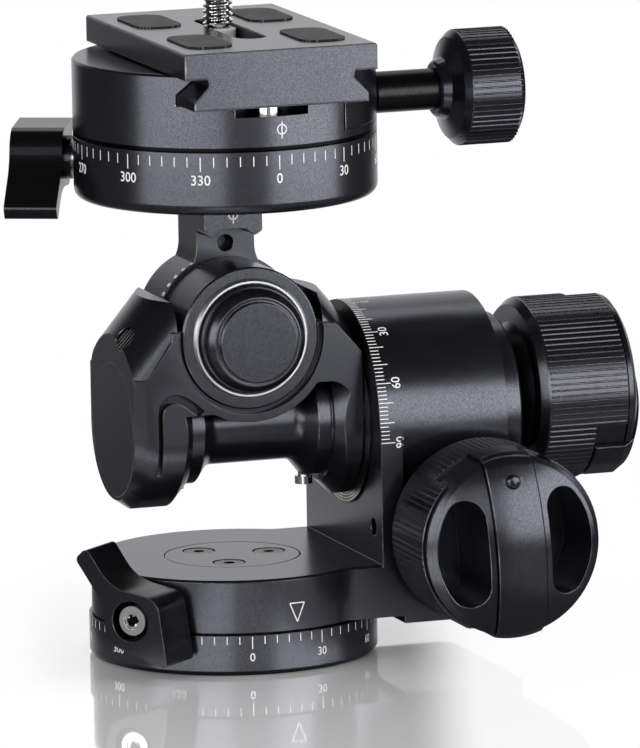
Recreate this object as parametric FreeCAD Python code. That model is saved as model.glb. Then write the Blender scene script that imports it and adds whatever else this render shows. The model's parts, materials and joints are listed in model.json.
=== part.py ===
import FreeCAD, Part
import math
import os

# A geared tripod head. Millimetres. +Z is up, +X runs along the barrel to the right
# and +Y to the back. The origin is the centre of the base's underside.

V = FreeCAD.Vector

# ---- Fits and gaps ----
running_gap = 0.05      # radial gap of a shaft in its bearing
easy_gap = 0.35         # gap between faces that pass each other
plain_gap = 0.2         # gap under a rotating disc

# ---- Panning base ----
ring_radius = 30.5
ring_height = 8.6
ring_foot_bevel = 1.0
post_radius = 11.8
bush_radius = 7.0
bush_length = 10.5
bush_sink = 0.6         # how far the bush sits inside the underside
tripod_thread_wall = 3.97    # wall radius of a 3/8"-16 tapped hole
glide_inner = 21.0
glide_outer = 26.0
glide_height = 0.9
glide_groove = 0.5      # depth of the groove that holds the glide ring
disc_radius = 29.9
disc_top = 20.2
cap_thickness = 3.0
post_top = disc_top - cap_thickness
cap_radius = 14.45
cap_screw_circle = 8.6
cap_screw_phase = 7.0
cap_screw_radius = 1.25
cap_screw_length = 5.0
cap_head_radius = 3.2
cap_head_height = 1.6

# ---- Bracket ----
roll_height = 49.0      # height of the roll axis, the barrel's centre line
riser_face = 25.2
riser_back = 30.0
half_width = 24.5       # half the width of arm and riser
barrel_radius = 24.0
barrel_end = 53.8
arm_end = 57.5
arm_corner = 4.0
arm_foot = 7.4          # height of the arm's underside beyond the base ring
web_half = 15.0         # half the width of the web under the barrel
housing_rise = 7.8      # from the worm's axis to the top of its housing
cavity_radius = 20.2
cavity_from = 32.5
collar_radius = 19.2
bearing_radius = 19.2
bearing_to = 31.5
foot_round = 6.0
collar_seat = 2.0       # depth of the collar's seat in the barrel's end
set_screw_side = 19.0
set_screw_height = 27.5
set_screw_radius = 1.85

# ---- Roll drive ----
roll_teeth = 48
roll_worm_drop = 22.0   # from the roll axis down to the worm's axis
roll_worm_height = roll_height - roll_worm_drop
roll_drive_x = 45.7
roll_wheel_width = 8.0
roll_worm_pitch_radius = 5.6
roll_worm_length = 20.0
roll_worm_room = 11.5   # half the length of the worm's room
roll_shaft_radius = 4.0
roll_bush_radius = 6.5
bush_flange_radius = 9.0
bush_flange = 1.4
spindle_radius = 13.9
spindle_from = 20.0
spindle_to = 56.5

# ---- Pitch drive ----
pitch_rise = 19.86      # from the roll axis up to the pitch axis
pitch_height = roll_height + pitch_rise     # the pitch axis runs along Y through X = 0
pitch_teeth = 48
drive_rise = 2.1        # from the roll axis up to the pitch worm's axis
drive_height = roll_height + drive_rise
pitch_worm_pitch_radius = 4.9
pitch_worm_length = 22.0
pitch_wheel_width = 8.0
wheel_hub_radius = 8.0
wheel_hub_end = 5.2     # where the wheel's hub ends behind the wheel's mid plane
pitch_shaft_radius = 3.9
shaft_room = 0.15       # radial room of the pitch shaft in the yoke
tooth_backlash = 0.16   # taken off each flank

# ---- Yoke ----
lobe_face = -26.0       # its left end face
plate_left = -23.1      # where the bevel of the end face ends
plate_right = 24.4
half_depth = 15.5
end_half = 14.8         # half the width of the end face
lobe_drop = 1.5         # from the roll axis down to the centre of the round foot
end_drop = 0.2          # the same for the end face's outline
lobe_shoulder = 12.5    # from the roll axis up to the bevel's top
slope_start = 15.5      # from the roll axis up to where the right side begins to slope
slope_top = 21.8        # from the roll axis up to the plate's flat top
slope_left = -16.6
slope_right = 18.9
rim_radius = 17.7
head_room_rise = 2.3    # above the pitch axis, where the yoke is open over the drum
arm_radius = 24.6       # each arm is a slice of a thick sloping drum
arm_slope = 50.0        # degrees
arm_reach = 20.3        # height above the roll axis where the left arm's crest meets the end
arm_right_shift = 0.5   # the right arm's crest lies that much nearer the middle
arm_edge_round = 5.0
arm_top = 77.0 - 68.86  # above the pitch axis
opening_left = -16.1
opening_right = 22.0
opening_mid_top = 4.3   # above the roll axis
opening_mid_round = 1.8
opening_right_top = 9.6
opening_step = 14.2     # where the higher right arch begins
arch_round = 4.8
recess_left = -20.9     # the shallow recess round the tongue
recess_top = 9.1
recess_round = 4.4
recess_depth = 1.9
tongue_left = -19.9
tongue_top = 7.5
tongue_set_back = 0.6
tongue_bottom = -12.0
tube_waist = 8.9
tube_bore = 6.2         # about the pitch worm's axis
collar_of_tube = 12.6   # the thicker ends of the tube
collar_length = 3.1
flare_outer = 17.2
flare_slope = 3.3
collar_slope = 3.0
waist_round = 3.0
drum_radius = 15.1
drum_front = -14.6
drum_back = 0.7
drum_bore = 14.2
drum_groove = 0.9
drum_groove_depth = 1.6
rear_cap_radius = 10.0
drum_wall = 5.2         # where the drum's front wall begins
ring_seat_radius = 12.7
ring_seat = 1.6         # depth of the seat of the bright ring and the cap
bright_ring_inner = 11.5
end_cap_radius = 14.2
end_cap_thickness = 2.0
yoke_screw_radius = 1.2
yoke_screw_head = 1.9
yoke_screw_length = 5.0

# ---- Cradle ----
hub_radius = 15.8
hub_front = 0.95
hub_back = 13.1
lower_hub_radius = 12.0
neck_half_width = 6.4
neck_foot_half = 13.6
neck_foot_rise = 6.5
neck_bend_rise = 14.4
neck_bend_round = 8.0
block_front = -4.6
block_drop = 8.2        # from the cradle's top down to the index block's foot
cradle_rise = 28.74     # from the pitch axis up to the cradle's top
cradle_top = pitch_height + cradle_rise
axle_radius = 4.0
cradle_screw_radius = 1.6
cradle_screw_head = 2.6
cradle_screw_y = 4.3

# ---- Upper panning ring ----
top_radius = 32.0
top_ring_bottom = cradle_top
top_ring_height = 13.3
top_ring_top = top_ring_bottom + top_ring_height
top_ring_round = 2.2
top_floor = top_ring_bottom + 3.6
spigot_radius = 21.0
clamp_floor = top_ring_top + 9.7
clamp_top = clamp_floor + 6.6

# ---- Quick-release clamp and plate ----
dovetail_half = 19.0    # half the standard 38 mm dovetail
plate_half_width = 21.0
plate_front = -37.8
plate_back = 28.6
plate_gap = 0.4         # under the plate and under its shoulders
plate_bottom = clamp_floor + plate_gap
plate_thickness = 12.1
plate_top = plate_bottom + plate_thickness
plate_shoulder = clamp_top + plate_gap
dovetail_edge = 1.9     # height of the dovetail's upright foot
waist_half = 15.8
jaw_gap = 0.15          # between the jaws and the closed dovetail
jaw_split = 17.6
jaw_ledge = 2.4         # thickness of the bed under the jaw
screw_drop = 3.7
screw_height = clamp_floor - screw_drop
clamp_screw_radius = 2.95
clamp_shaft_radius = 4.4
clamp_shaft_from = 32.6
guide_pin_side = 15.0
guide_pin_radius = 1.5
stop_screw_y = -27.6
stop_screw_radius = 1.3
stop_head_radius = 2.9
stop_recess_half = 8.0
stop_recess_depth = 2.4
slot_half_width = 3.4
slot_front = -21.0
slot_back = 12.0
counter_margin = 4.2    # how much wider the slot's lower part is on each side
slot_roof = 4.0         # thickness of the plate over the camera screw's head
camera_screw_y = 3.4
camera_thread_radius = 3.175
camera_neck_radius = 2.6
camera_head_radius = 7.2
camera_thread_height = 5.4
pad_side = 12.4
pad_half_length = 9.5
pad_half_width = 5.0
pad_depth = 1.2
pad_above = 0.35
pad_round = 3.8

# ---- Knobs ----
knob_radius = 19.6
roll_knob_back = -26.4
roll_knob_front = -48.5     # the face's edge
pitch_knob_back = 63.4
pitch_knob_front = 84.4
knob_floor = 4.0            # thickness of the rim's back wall
rim_short = 1.7             # how far the rim stays behind the face's edge
face_radius = 17.9
face_edge_radius = 19.1
face_crown = 4.7            # how far the face's middle stands out past its edge
recess_wall = 2.0
recess_floor = 6.5
recess_inner = 6.8          # from the knob's axis to the straight side of a recess
recess_corner = 4.0
strap_half_width = 5.25
strap_stand = 0.6           # how far the strap stands above the face
strap_wrap = 8.0            # how far the strap reaches back over the rim
strap_over = 0.3            # its outside above the rim
strap_under = 0.55          # its inside below the rim, in a track
strap_pin_radius = 14.2     # distance of the strap's pin from the knob's axis
pin_radius = 1.5
roll_knob_spin = 4.0
pitch_knob_spin = 49.0
clamp_knob_radius = 12.2
clamp_knob_back = 50.0
clamp_knob_front = 63.5

# ---- Lock levers ----
lever_width = 11.2
lever_stand_off = 1.4       # from the clamped ring's side to the lever's body
lever_hub_radius = 4.6
lever_screw_radius = 2.1
lever_head_radius = 3.7
lever_stud_radius = 3.0
base_lever_angle = 48.5     # turned from the front towards the left
base_lever_height = 13.4
top_lever_angle = 116.0
top_lever_rise = 7.6
top_lever_height = top_ring_bottom + top_lever_rise
top_lever_spin = 195.0


# ---------------------------------------------------------------- helpers
def rod(radius, start, end):
    """A round rod between two points."""
    start, end = V(*start), V(*end)
    along = end - start
    return Part.makeCylinder(radius, along.Length, start, along)


def pipe(outer, inner, start, end):
    return rod(outer, start, end).cut(rod(inner, start, end))


def block(x0, x1, y0, y1, z0, z1):
    return Part.makeBox(x1 - x0, y1 - y0, z1 - z0, V(x0, y0, z0))


def outline(corners):
    """Edges of a closed flat outline in XY.

    Each corner is (x, y), (x, y, rounding) or (x, y, 0, bevel).
    """
    count = len(corners)
    starts, ends, middles = [], [], []
    for i in range(count):
        here = V(corners[i][0], corners[i][1], 0)
        rounding = corners[i][2] if len(corners[i]) > 2 else 0.0
        bevel = corners[i][3] if len(corners[i]) > 3 else 0.0
        before = V(corners[i - 1][0], corners[i - 1][1], 0) - here
        after = V(corners[(i + 1) % count][0], corners[(i + 1) % count][1], 0) - here
        before.normalize()
        after.normalize()
        half = before.getAngle(after) / 2
        reach = rounding / math.tan(half) if rounding > 0 else bevel
        starts.append(here + before * reach)
        ends.append(here + after * reach)
        if rounding > 0:
            bisector = before + after
            bisector.normalize()
            centre = here + bisector * (rounding / math.sin(half))
            middles.append(centre - bisector * rounding)
        else:
            middles.append(None)
    edges = []
    for i in range(count):
        if middles[i] is not None:
            edges.append(Part.Arc(starts[i], middles[i], ends[i]).toShape())
        elif (ends[i] - starts[i]).Length > 1e-6:
            edges.append(Part.makeLine(starts[i], ends[i]))
        following = starts[(i + 1) % count]
        if (following - ends[i]).Length > 1e-6:
            edges.append(Part.makeLine(ends[i], following))
    return edges


def plate_of(corners, thickness):
    """A flat plate on XY, grown upwards by its thickness."""
    face = Part.Face(Part.Wire(outline(corners)))
    return face.extrude(V(0, 0, thickness))


def along_y(shape, y):
    """Stands a plate drawn as (x, z) upright, its thickness running to the back from y."""
    out = shape.copy()
    out.rotate(V(0, 0, 0), V(1, 0, 0), 90)
    out = out.mirror(V(0, 0, 0), V(0, 1, 0))
    out.translate(V(0, y, 0))
    return out


def along_x(shape, x):
    """Stands a plate drawn as (y, z) upright, its thickness running to the right from x."""
    out = shape.copy()
    out.rotate(V(0, 0, 0), V(1, 1, 1), 120)
    out.translate(V(x, 0, 0))
    return out


def turned(corners):
    """A solid of revolution about Z from a closed outline of (radius, height) corners."""
    edges = outline(corners)
    face = Part.Face(Part.Wire(edges))
    face.rotate(V(0, 0, 0), V(1, 0, 0), 90)
    return face.revolve(V(0, 0, 0), V(0, 0, 1), 360)


def aim(shape, origin, direction):
    """Moves a solid made about Z so that its Z axis points along a direction."""
    turn = FreeCAD.Rotation(V(0, 0, 1), V(*direction))
    return placed(shape, FreeCAD.Placement(V(*origin), turn))


def placed(shape, place):
    """The shape moved by a placement, on top of where it already is."""
    out = shape.copy()
    out.Placement = place.multiply(out.Placement)
    return out


def fuse(*shapes):
    out = shapes[0]
    if len(shapes) > 1:
        out = out.multiFuse(list(shapes[1:]))
    return out.removeSplitter()


def cut(shape, *tools):
    return shape.cut(list(tools))


def on_circle(radius, degrees, z=0.0):
    a = math.radians(degrees)
    return (radius * math.cos(a), radius * math.sin(a), z)


def ease(shape, size, wanted):
    """Chamfers the edges that the test picks out."""
    edges = [e for e in shape.Edges if wanted(e)]
    return shape.makeChamfer(size, edges)


def soften(shape, radius, wanted):
    """Rounds the edges that the test picks out."""
    edges = [e for e in shape.Edges if wanted(e)]
    return shape.makeFillet(radius, edges)


# ---------------------------------------------------------------- base
def make_base_scale_ring():
    groove = ring_height - glide_groove
    ring = turned([
        (0, bush_sink), (18, bush_sink), (18, 0), (ring_radius, 0, 0, ring_foot_bevel),
        (ring_radius, ring_height), (glide_outer, ring_height), (glide_outer, groove),
        (glide_inner, groove), (glide_inner, ring_height),
        (post_radius, ring_height), (post_radius, post_top), (0, post_top)])
    bush_hole = rod(bush_radius, (0, 0, 0), (0, 0, bush_length + bush_sink))
    tapped = [rod(cap_screw_radius, on_circle(cap_screw_circle, a, post_top - cap_screw_length - 0.5),
                  on_circle(cap_screw_circle, a, post_top))
              for a in cap_screw_angles()]
    return cut(ring, bush_hole, *tapped)


def cap_screw_angles():
    return [cap_screw_phase + 120 * i for i in range(3)]


def make_tripod_bush():
    top = bush_length + bush_sink
    body = rod(bush_radius, (0, 0, bush_sink), (0, 0, top))
    return cut(body, rod(tripod_thread_wall, (0, 0, 0), (0, 0, bush_length)))


def make_base_glide_ring():
    low = ring_height - glide_groove
    return pipe(glide_outer, glide_inner, (0, 0, low), (0, 0, low + glide_height))


def disc_bottom():
    return ring_height - glide_groove + glide_height


def make_base_cap():
    cap = turned([(0, post_top), (cap_radius, post_top), (cap_radius, disc_top, 0, 0.25),
                  (0, disc_top)])
    tools = []
    for a in cap_screw_angles():
        foot = on_circle(cap_screw_circle, a, post_top)
        seat = on_circle(cap_screw_circle, a, disc_top - cap_head_height)
        top = on_circle(cap_screw_circle, a, disc_top)
        tools.append(rod(cap_screw_radius + easy_gap, foot, top))
        tools.append(rod(cap_head_radius + easy_gap, seat, top))
    return cut(cap, *tools)


def make_base_cap_screws():
    screws = []
    for a in cap_screw_angles():
        foot = on_circle(cap_screw_circle, a, post_top - cap_screw_length)
        seat = on_circle(cap_screw_circle, a, disc_top - cap_head_height)
        top = on_circle(cap_screw_circle, a, disc_top - 0.1)
        shank = rod(cap_screw_radius, foot, seat)
        head = rod(cap_head_radius, seat, top)
        socket = socket_cutter(1.3, 1.0)
        screws.append(cut(fuse(shank, head), aim(socket, top, (0, 0, 1))))
    return Part.makeCompound(screws)


def socket_cutter(across_radius, depth):
    """A six-sided recess whose mouth is at the origin and which opens along +Z."""
    corners = [on_circle(across_radius, 60 * i)[:2] for i in range(6)]
    tool = plate_of(corners, depth + 0.2)
    tool.translate(V(0, 0, -depth))
    return tool


# ---------------------------------------------------------------- bracket
def lock_direction(angle):
    """Unit vector that points outward at an angle from the front towards the left."""
    a = math.radians(angle)
    return (-math.sin(a), -math.cos(a), 0.0)


def radial_point(angle, radius, height):
    dx, dy, _ = lock_direction(angle)
    return (dx * radius, dy * radius, height)


def arm_outline(start):
    return [(start, -half_width), (arm_end, -half_width, arm_corner),
            (arm_end, half_width, arm_corner), (start, half_width)]


def make_bracket():
    low = disc_bottom()
    disc = rod(disc_radius, (0, 0, low), (0, 0, disc_top))
    arm = plate_of(arm_outline(0), disc_top - low)
    arm.translate(V(0, 0, low))
    floor = fuse(disc, arm)
    meeting = math.sqrt(disc_radius ** 2 - half_width ** 2)

    def inner_corner(e):
        c = e.CenterOfMass
        upright = abs(e.tangentAt(e.FirstParameter).z) > 0.99
        return upright and abs(c.x - meeting) < 0.1 and abs(abs(c.y) - half_width) < 0.1
    floor = soften(floor, foot_round, inner_corner)

    def rim_edge(e):
        on_top = all(abs(v.Z - disc_top) < 0.01 for v in e.Vertexes)
        return on_top and e.CenterOfMass.x < riser_face - 1
    floor = ease(floor, 0.5, rim_edge)

    foot = plate_of(arm_outline(riser_back), low - arm_foot)
    foot.translate(V(0, 0, arm_foot))
    foot = cut(foot, rod(ring_radius + 0.9, (0, 0, 0), (0, 0, low)))
    riser_outline = [(-half_width, low), (half_width, low), (half_width, roll_height),
                     (-half_width, roll_height)]
    riser = along_x(plate_of(riser_outline, riser_back - riser_face), riser_face)
    barrel = rod(barrel_radius, (riser_face, 0, roll_height), (barrel_end, 0, roll_height))
    housing = plate_of(arm_outline(riser_back), roll_worm_height + housing_rise - disc_top)
    housing.translate(V(0, 0, disc_top))
    web = block(riser_back, barrel_end - 1.5, -web_half, web_half,
                roll_worm_height + housing_rise - 0.5, roll_height)
    shell = fuse(floor, foot, riser, housing, web, barrel)

    axis = (0, roll_height)
    left_bore = rod(bearing_radius, (riser_face - 1, *axis), (bearing_to, *axis))
    left_shoulder = rod(spindle_radius + 1.0, (bearing_to, *axis), (cavity_from, *axis))
    seat_from = barrel_end - collar_seat
    cavity = rod(cavity_radius, (cavity_from, *axis), (seat_from, *axis))
    collar_bed = rod(cavity_radius + 0.8, (seat_from, *axis), (barrel_end, *axis))
    post_bore = rod(post_radius + running_gap, (0, 0, low), (0, 0, post_top))
    cap_seat = rod(cap_radius + 0.1, (0, 0, post_top - 0.1), (0, 0, disc_top + 1))
    drive = (roll_drive_x, roll_worm_height)
    worm_room = rod(roll_worm_pitch_radius + 1.6, (drive[0], -roll_worm_room, drive[1]),
                    (drive[0], roll_worm_room, drive[1]))
    front_bearing = rod(roll_bush_radius, (drive[0], -half_width - 1, drive[1]),
                        (drive[0], -roll_worm_room, drive[1]))
    back_bearing = rod(roll_shaft_radius + running_gap, (drive[0], roll_worm_room - 0.1, drive[1]),
                       (drive[0], half_width - 6.5, drive[1]))
    stud_bore = rod(lever_stud_radius + running_gap,
                    radial_point(base_lever_angle, post_radius - 1, base_lever_height),
                    radial_point(base_lever_angle, disc_radius + 2, base_lever_height))
    set_hole = rod(set_screw_radius, (riser_face - 1, -set_screw_side, set_screw_height),
                   (riser_face + 4, -set_screw_side, set_screw_height))
    collar_room = rod(collar_radius + 1.0, (barrel_end, *axis), (arm_end + 1, *axis))
    return cut(shell, collar_room, left_bore, left_shoulder, cavity, collar_bed, post_bore,
               cap_seat, worm_room, front_bearing, back_bearing, stud_bore, set_hole)


def make_bearing_ring():
    face = riser_face - 0.5
    return pipe(bearing_radius, spindle_radius + running_gap,
                (face, 0, roll_height), (bearing_to, 0, roll_height))


def make_barrel_collar():
    bore = spindle_radius + running_gap
    inner = pitch_shaft_radius + drive_rise + easy_gap
    length = spindle_to - barrel_end + collar_seat
    collar = turned([
        (bore, 0), (cavity_radius + 0.8, 0), (cavity_radius + 0.8, collar_seat),
        (collar_radius, collar_seat), (collar_radius, length + 2.4, 0, 0.5),
        (13.0, length + 3.5, 1.0), (9.5, length + 3.8), (inner, length + 3.8),
        (inner, length + 1.3), (bore, length + 1.3)])
    return aim(collar, (barrel_end - collar_seat, 0, roll_height), (1, 0, 0))


# ---------------------------------------------------------------- gears
def gear_disc(teeth, module, width):
    """A toothed disc about Z, centred on its own plane, its teeth thinned for backlash."""
    pitch_radius = module * teeth / 2
    tip, root = pitch_radius + 0.9 * module, pitch_radius - 1.15 * module
    thin = tooth_backlash / pitch_radius
    step = 2 * math.pi / teeth
    points = []
    for i in range(teeth):
        middle = i * step
        for radius, share in ((root, -0.36), (tip, -0.13), (tip, 0.13), (root, 0.36)):
            sign = -1 if share < 0 else 1
            angle = middle + share * step - sign * thin
            points.append(V(radius * math.cos(angle), radius * math.sin(angle), 0))
    points.append(points[0])
    face = Part.Face(Part.makePolygon(points))
    disc = face.extrude(V(0, 0, width))
    disc.translate(V(0, 0, -width / 2))
    return disc


def roll_wheel_radius():
    return roll_worm_drop - roll_worm_pitch_radius


def make_roll_wheel():
    module = 2 * roll_wheel_radius() / roll_teeth
    disc = gear_disc(roll_teeth, module, roll_wheel_width)
    reach = roll_wheel_width
    disc = cut(disc, rod(spindle_radius, (0, 0, -reach), (0, 0, reach)))
    return aim(disc, (roll_drive_x, 0, roll_height), (1, 0, 0))


def worm_blank(pitch_radius, module, length):
    """The worm's round body about Z, centred on its own plane."""
    root = pitch_radius - 1.2 * module
    return turned([(0, -length / 2), (root, -length / 2), (root, length / 2), (0, length / 2)])


def make_roll_worm():
    module = 2 * roll_wheel_radius() / roll_teeth
    body = worm_blank(roll_worm_pitch_radius, module, roll_worm_length)
    shaft = rod(roll_shaft_radius, (0, 0, -half_width + 7.0),
                (0, 0, -roll_knob_front - knob_floor - 5.0))
    whole = fuse(body, shaft)
    return aim(whole, (roll_drive_x, 0, roll_worm_height), (0, -1, 0))


def make_roll_bush():
    bore = roll_shaft_radius + running_gap
    face = half_width + bush_flange
    bush = turned([
        (bore, roll_worm_room + 0.1), (roll_bush_radius, roll_worm_room + 0.1),
        (roll_bush_radius, half_width), (bush_flange_radius, half_width),
        (bush_flange_radius, face), (bore, face)])
    return aim(bush, (roll_drive_x, 0, roll_worm_height), (0, -1, 0))


# ---------------------------------------------------------------- yoke
def upright_u(x, half, foot_centre, top):
    """A closed U across the barrel's direction: round foot, upright sides, level top."""
    low_left = V(x, -half, foot_centre)
    low_right = V(x, half, foot_centre)
    top_left = V(x, -half, top)
    top_right = V(x, half, top)
    return Part.Wire([
        Part.makeLine(top_left, low_left),
        Part.Arc(low_left, V(x, 0, foot_centre - half), low_right).toShape(),
        Part.makeLine(low_right, top_right), Part.makeLine(top_right, top_left)])


def yoke_body():
    """The U-shaped prism under the arms, with its bevelled left end."""
    foot = roll_height - lobe_drop
    shoulder = roll_height + lobe_shoulder
    flat_top = roll_height + slope_top
    prism = Part.Face(upright_u(plate_left, half_depth, foot, flat_top + 5))
    prism = prism.extrude(V(plate_right - plate_left, 0, 0))
    front_outline = [
        (plate_left, 0), (plate_right, 0), (plate_right, roll_height + slope_start),
        (slope_right, flat_top), (slope_left, flat_top), (plate_left, shoulder)]
    front = along_y(plate_of(front_outline, 2 * half_depth + 2), -half_depth - 1)
    end = Part.makeLoft([
        upright_u(lobe_face, end_half, roll_height - end_drop, shoulder),
        upright_u(plate_left, half_depth, foot, shoulder)], True, True)
    return fuse(prism.common(front), end)


def yoke_arm(side, crest_x):
    """One arm: a slice of a sloping drum with softened long edges, level on top."""
    reach = 45.0
    drum = rod(arm_radius, (0, 0, -reach), (0, 0, reach))
    slice_ = drum.common(block(0, 2 * arm_radius, -end_half, end_half, -reach, reach))
    crest_edge = math.sqrt(arm_radius ** 2 - end_half ** 2)

    def long_edge(e):
        c = e.CenterOfMass
        return abs(c.x - crest_edge) < 0.01 and abs(abs(c.y) - end_half) < 0.01
    slice_ = soften(slice_, arm_edge_round, long_edge)
    slope = math.radians(arm_slope)
    centre = V(crest_x + side * arm_radius * math.sin(slope), 0,
               roll_height + arm_reach - arm_radius * math.cos(slope))
    lean = FreeCAD.Rotation(V(0, 1, 0), -90 - side * arm_slope)
    arm = placed(slice_, FreeCAD.Placement(centre, lean))
    top = pitch_height + arm_top
    if side > 0:
        limits = block(lobe_face, -drum_radius + 3, -half_depth, half_depth, roll_height, top)
    else:
        limits = block(drum_radius - 3, plate_right, -half_depth, half_depth, roll_height, top)
    return arm.common(limits)


def tube_flare():
    """The worm's tube with its two stepped collars, about the roll axis."""
    left, right = opening_left, opening_right
    steps = [0.0, flare_slope, flare_slope, flare_slope + collar_length,
             flare_slope + collar_length + collar_slope]
    radii = [flare_outer, flare_outer - flare_slope, collar_of_tube, collar_of_tube, tube_waist]
    rounds = [0, 0, 0, 0, waist_round]
    left_side = [(r, left + s, q) for r, s, q in zip(radii, steps, rounds)]
    right_side = [(r, right - s, q) for r, s, q in zip(radii, steps, rounds)]
    corners = [(0, left - 2), (flare_outer, left - 2)] + left_side
    corners += right_side[::-1] + [(flare_outer, right + 2), (0, right + 2)]
    return aim(turned(corners), (0, 0, roll_height), (1, 0, 0))


def yoke_opening():
    """The space round the tube: low and square on the left, a taller arch on the right."""
    mid = roll_height + opening_mid_top
    arch = roll_height + opening_right_top
    corners = [
        (opening_left, 0), (opening_right, 0), (opening_right, arch, arch_round),
        (opening_step, arch, 2.0), (opening_step - 8.0, mid),
        (opening_left, mid, opening_mid_round)]
    return along_y(plate_of(corners, 4 * half_depth), -2 * half_depth)


def tongue_recess():
    """The shallow recess in the front plate that leaves a hooked tongue standing."""
    top = roll_height + recess_top
    crook = roll_height + opening_mid_top
    corners = [
        (recess_left, 0), (opening_left, 0), (opening_left, crook), (-9.0, crook),
        (-9.0, top - 6.5), (-13.5, top, recess_round - 1.5),
        (recess_left, top, recess_round)]
    recess = along_y(plate_of(corners, recess_depth + 1), -half_depth - 1)
    crown = roll_height + tongue_top
    tongue_corners = [
        (tongue_left, roll_height + tongue_bottom - 6), (opening_left + 2, roll_height - 18),
        (opening_left + 2, roll_height + 4), (-9.0, roll_height + opening_mid_top - 1.2),
        (-15.6, crown, 1.5), (tongue_left, crown, 3.4)]
    tongue = along_y(plate_of(tongue_corners, recess_depth + 1), -half_depth + tongue_set_back)
    return cut(recess, tongue)


def make_yoke():
    rim = rod(rim_radius, (0, -half_depth, pitch_height), (0, half_depth, pitch_height))
    left_arm = yoke_arm(1, lobe_face)
    right_arm = yoke_arm(-1, -lobe_face - arm_right_shift)
    upper = fuse(yoke_body(), left_arm, right_arm)
    envelope = block(-rim_radius, rim_radius, -half_depth, half_depth, 0,
                     pitch_height + head_room_rise)
    body = fuse(upper, rim.common(envelope))
    pocket = cut(yoke_opening(), rim, tube_flare())
    recess = cut(tongue_recess(), rim)
    body = cut(body, pocket, recess)

    axis = (0, roll_height)
    drum_seat = rod(drum_radius, (0, -half_depth - 1, pitch_height),
                    (0, drum_back, pitch_height))
    groove = rod(drum_radius + drum_groove, (0, -half_depth - 1, pitch_height),
                 (0, -half_depth + drum_groove_depth, pitch_height))
    hub_room = rod(hub_radius + easy_gap, (0, drum_back - 0.05, pitch_height),
                   (0, hub_back + 0.2, pitch_height))
    wheel_room = rod(drum_bore, (0, drum_back - drum_wall - 0.2, pitch_height),
                     (0, drum_back + 1, pitch_height))
    axle_hole = rod(axle_radius, (0, hub_back, pitch_height), (0, half_depth + 1, pitch_height))
    over = pitch_height + 25
    clear_half = hub_radius + easy_gap
    head_room = block(-clear_half, clear_half, -half_depth - 1, half_depth + 1,
                      pitch_height + head_room_rise, over)
    tilt_room = block(-clear_half, clear_half, drum_back - 0.05, hub_back + 0.2,
                      pitch_height, over)
    rear_drum_seat = rod(drum_radius, (0, hub_back + 0.2, pitch_height),
                         (0, half_depth + 2, pitch_height))
    half_worm = pitch_worm_length / 2 + 3.0
    worm_bore = rod(tube_bore, (-half_worm, 0, drive_height), (half_worm, 0, drive_height))
    shaft_bore = rod(pitch_shaft_radius + shaft_room, (lobe_face + 2.5, 0, drive_height),
                     (plate_right + 1, 0, drive_height))
    spindle_seat = rod(spindle_radius, (spindle_from, *axis), (plate_right + 1, *axis))
    cap_seat = rod(end_cap_radius, (lobe_face - 1, *axis), (lobe_face + end_cap_thickness, *axis))
    screw_seats = [fuse(rod(yoke_screw_radius, (x, 0, low), (x, 0, low + yoke_screw_length + 0.5)),
                        rod(yoke_screw_head + 0.05, (x, 0, low - 1), (x, 0, low + 1.7)))
                   for x, low in yoke_screw_places()]
    return cut(body, drum_seat, groove, hub_room, wheel_room, axle_hole, head_room, tilt_room,
               rear_drum_seat, worm_bore, shaft_bore, spindle_seat, cap_seat, *screw_seats)


def yoke_screw_places():
    """Station along the barrel and height of each screw's head."""
    low = roll_height - collar_of_tube
    return ((opening_left + 3.6, low - 1.0), (opening_right - 5.8, low - 2.0))


def make_yoke_spindle():
    """The spindle on the roll axis; its bore for the pitch shaft is a little off centre."""
    body = rod(spindle_radius, (spindle_from, 0, roll_height), (spindle_to, 0, roll_height))
    bore = rod(pitch_shaft_radius + running_gap, (spindle_from - 1, 0, drive_height),
               (spindle_to + 1, 0, drive_height))
    return cut(body, bore)


def make_yoke_end_cap():
    cap = turned([(0, 0), (end_cap_radius, 0), (end_cap_radius, end_cap_thickness, 0, 0.15),
                  (0, end_cap_thickness)])
    return aim(cap, (lobe_face + end_cap_thickness, 0, roll_height), (-1, 0, 0))


def make_yoke_screws():
    screws = []
    for x, low in yoke_screw_places():
        shank = rod(yoke_screw_radius, (x, 0, low + 1.6), (x, 0, low + yoke_screw_length))
        head = rod(yoke_screw_head, (x, 0, low), (x, 0, low + 1.7))
        recess = aim(socket_cutter(0.9, 0.9), (x, 0, low), (0, 0, -1))
        screws.append(cut(fuse(shank, head), recess))
    return Part.makeCompound(screws)


def make_front_drum():
    """The hollow drum that closes the wheel's room in front."""
    depth = drum_back - drum_front
    bore = axle_radius + running_gap
    drum = turned([
        (bore, drum_wall), (drum_bore, drum_wall), (drum_bore, 0), (drum_radius, 0),
        (drum_radius, depth, 0, 0.35), (ring_seat_radius, depth),
        (ring_seat_radius, depth - ring_seat), (bore, depth - ring_seat)])
    drum = aim(drum, (0, drum_back, pitch_height), (0, -1, 0))
    return cut(drum, rod(tube_bore, (-20, 0, drive_height), (20, 0, drive_height)))


def make_front_ring():
    base = -drum_front - ring_seat
    ring = turned([
        (bright_ring_inner, base), (ring_seat_radius, base), (ring_seat_radius, base + 1.9),
        (12.25, base + 2.5), (11.85, base + 2.5), (bright_ring_inner, base + 2.1)])
    return aim(ring, (0, 0, pitch_height), (0, -1, 0))


def make_front_cap():
    base = -drum_front - ring_seat
    cap = turned([
        (0, base), (bright_ring_inner, base), (bright_ring_inner, base + 1.9),
        (10.9, base + 5.3, 2.6), (9.1, base + 7.2, 0.5), (8.9, base + 6.7),
        (8.5, base + 6.7), (8.5, base + 7.6, 0, 0.2), (0, base + 7.6)])
    return aim(cap, (0, 0, pitch_height), (0, -1, 0))


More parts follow.
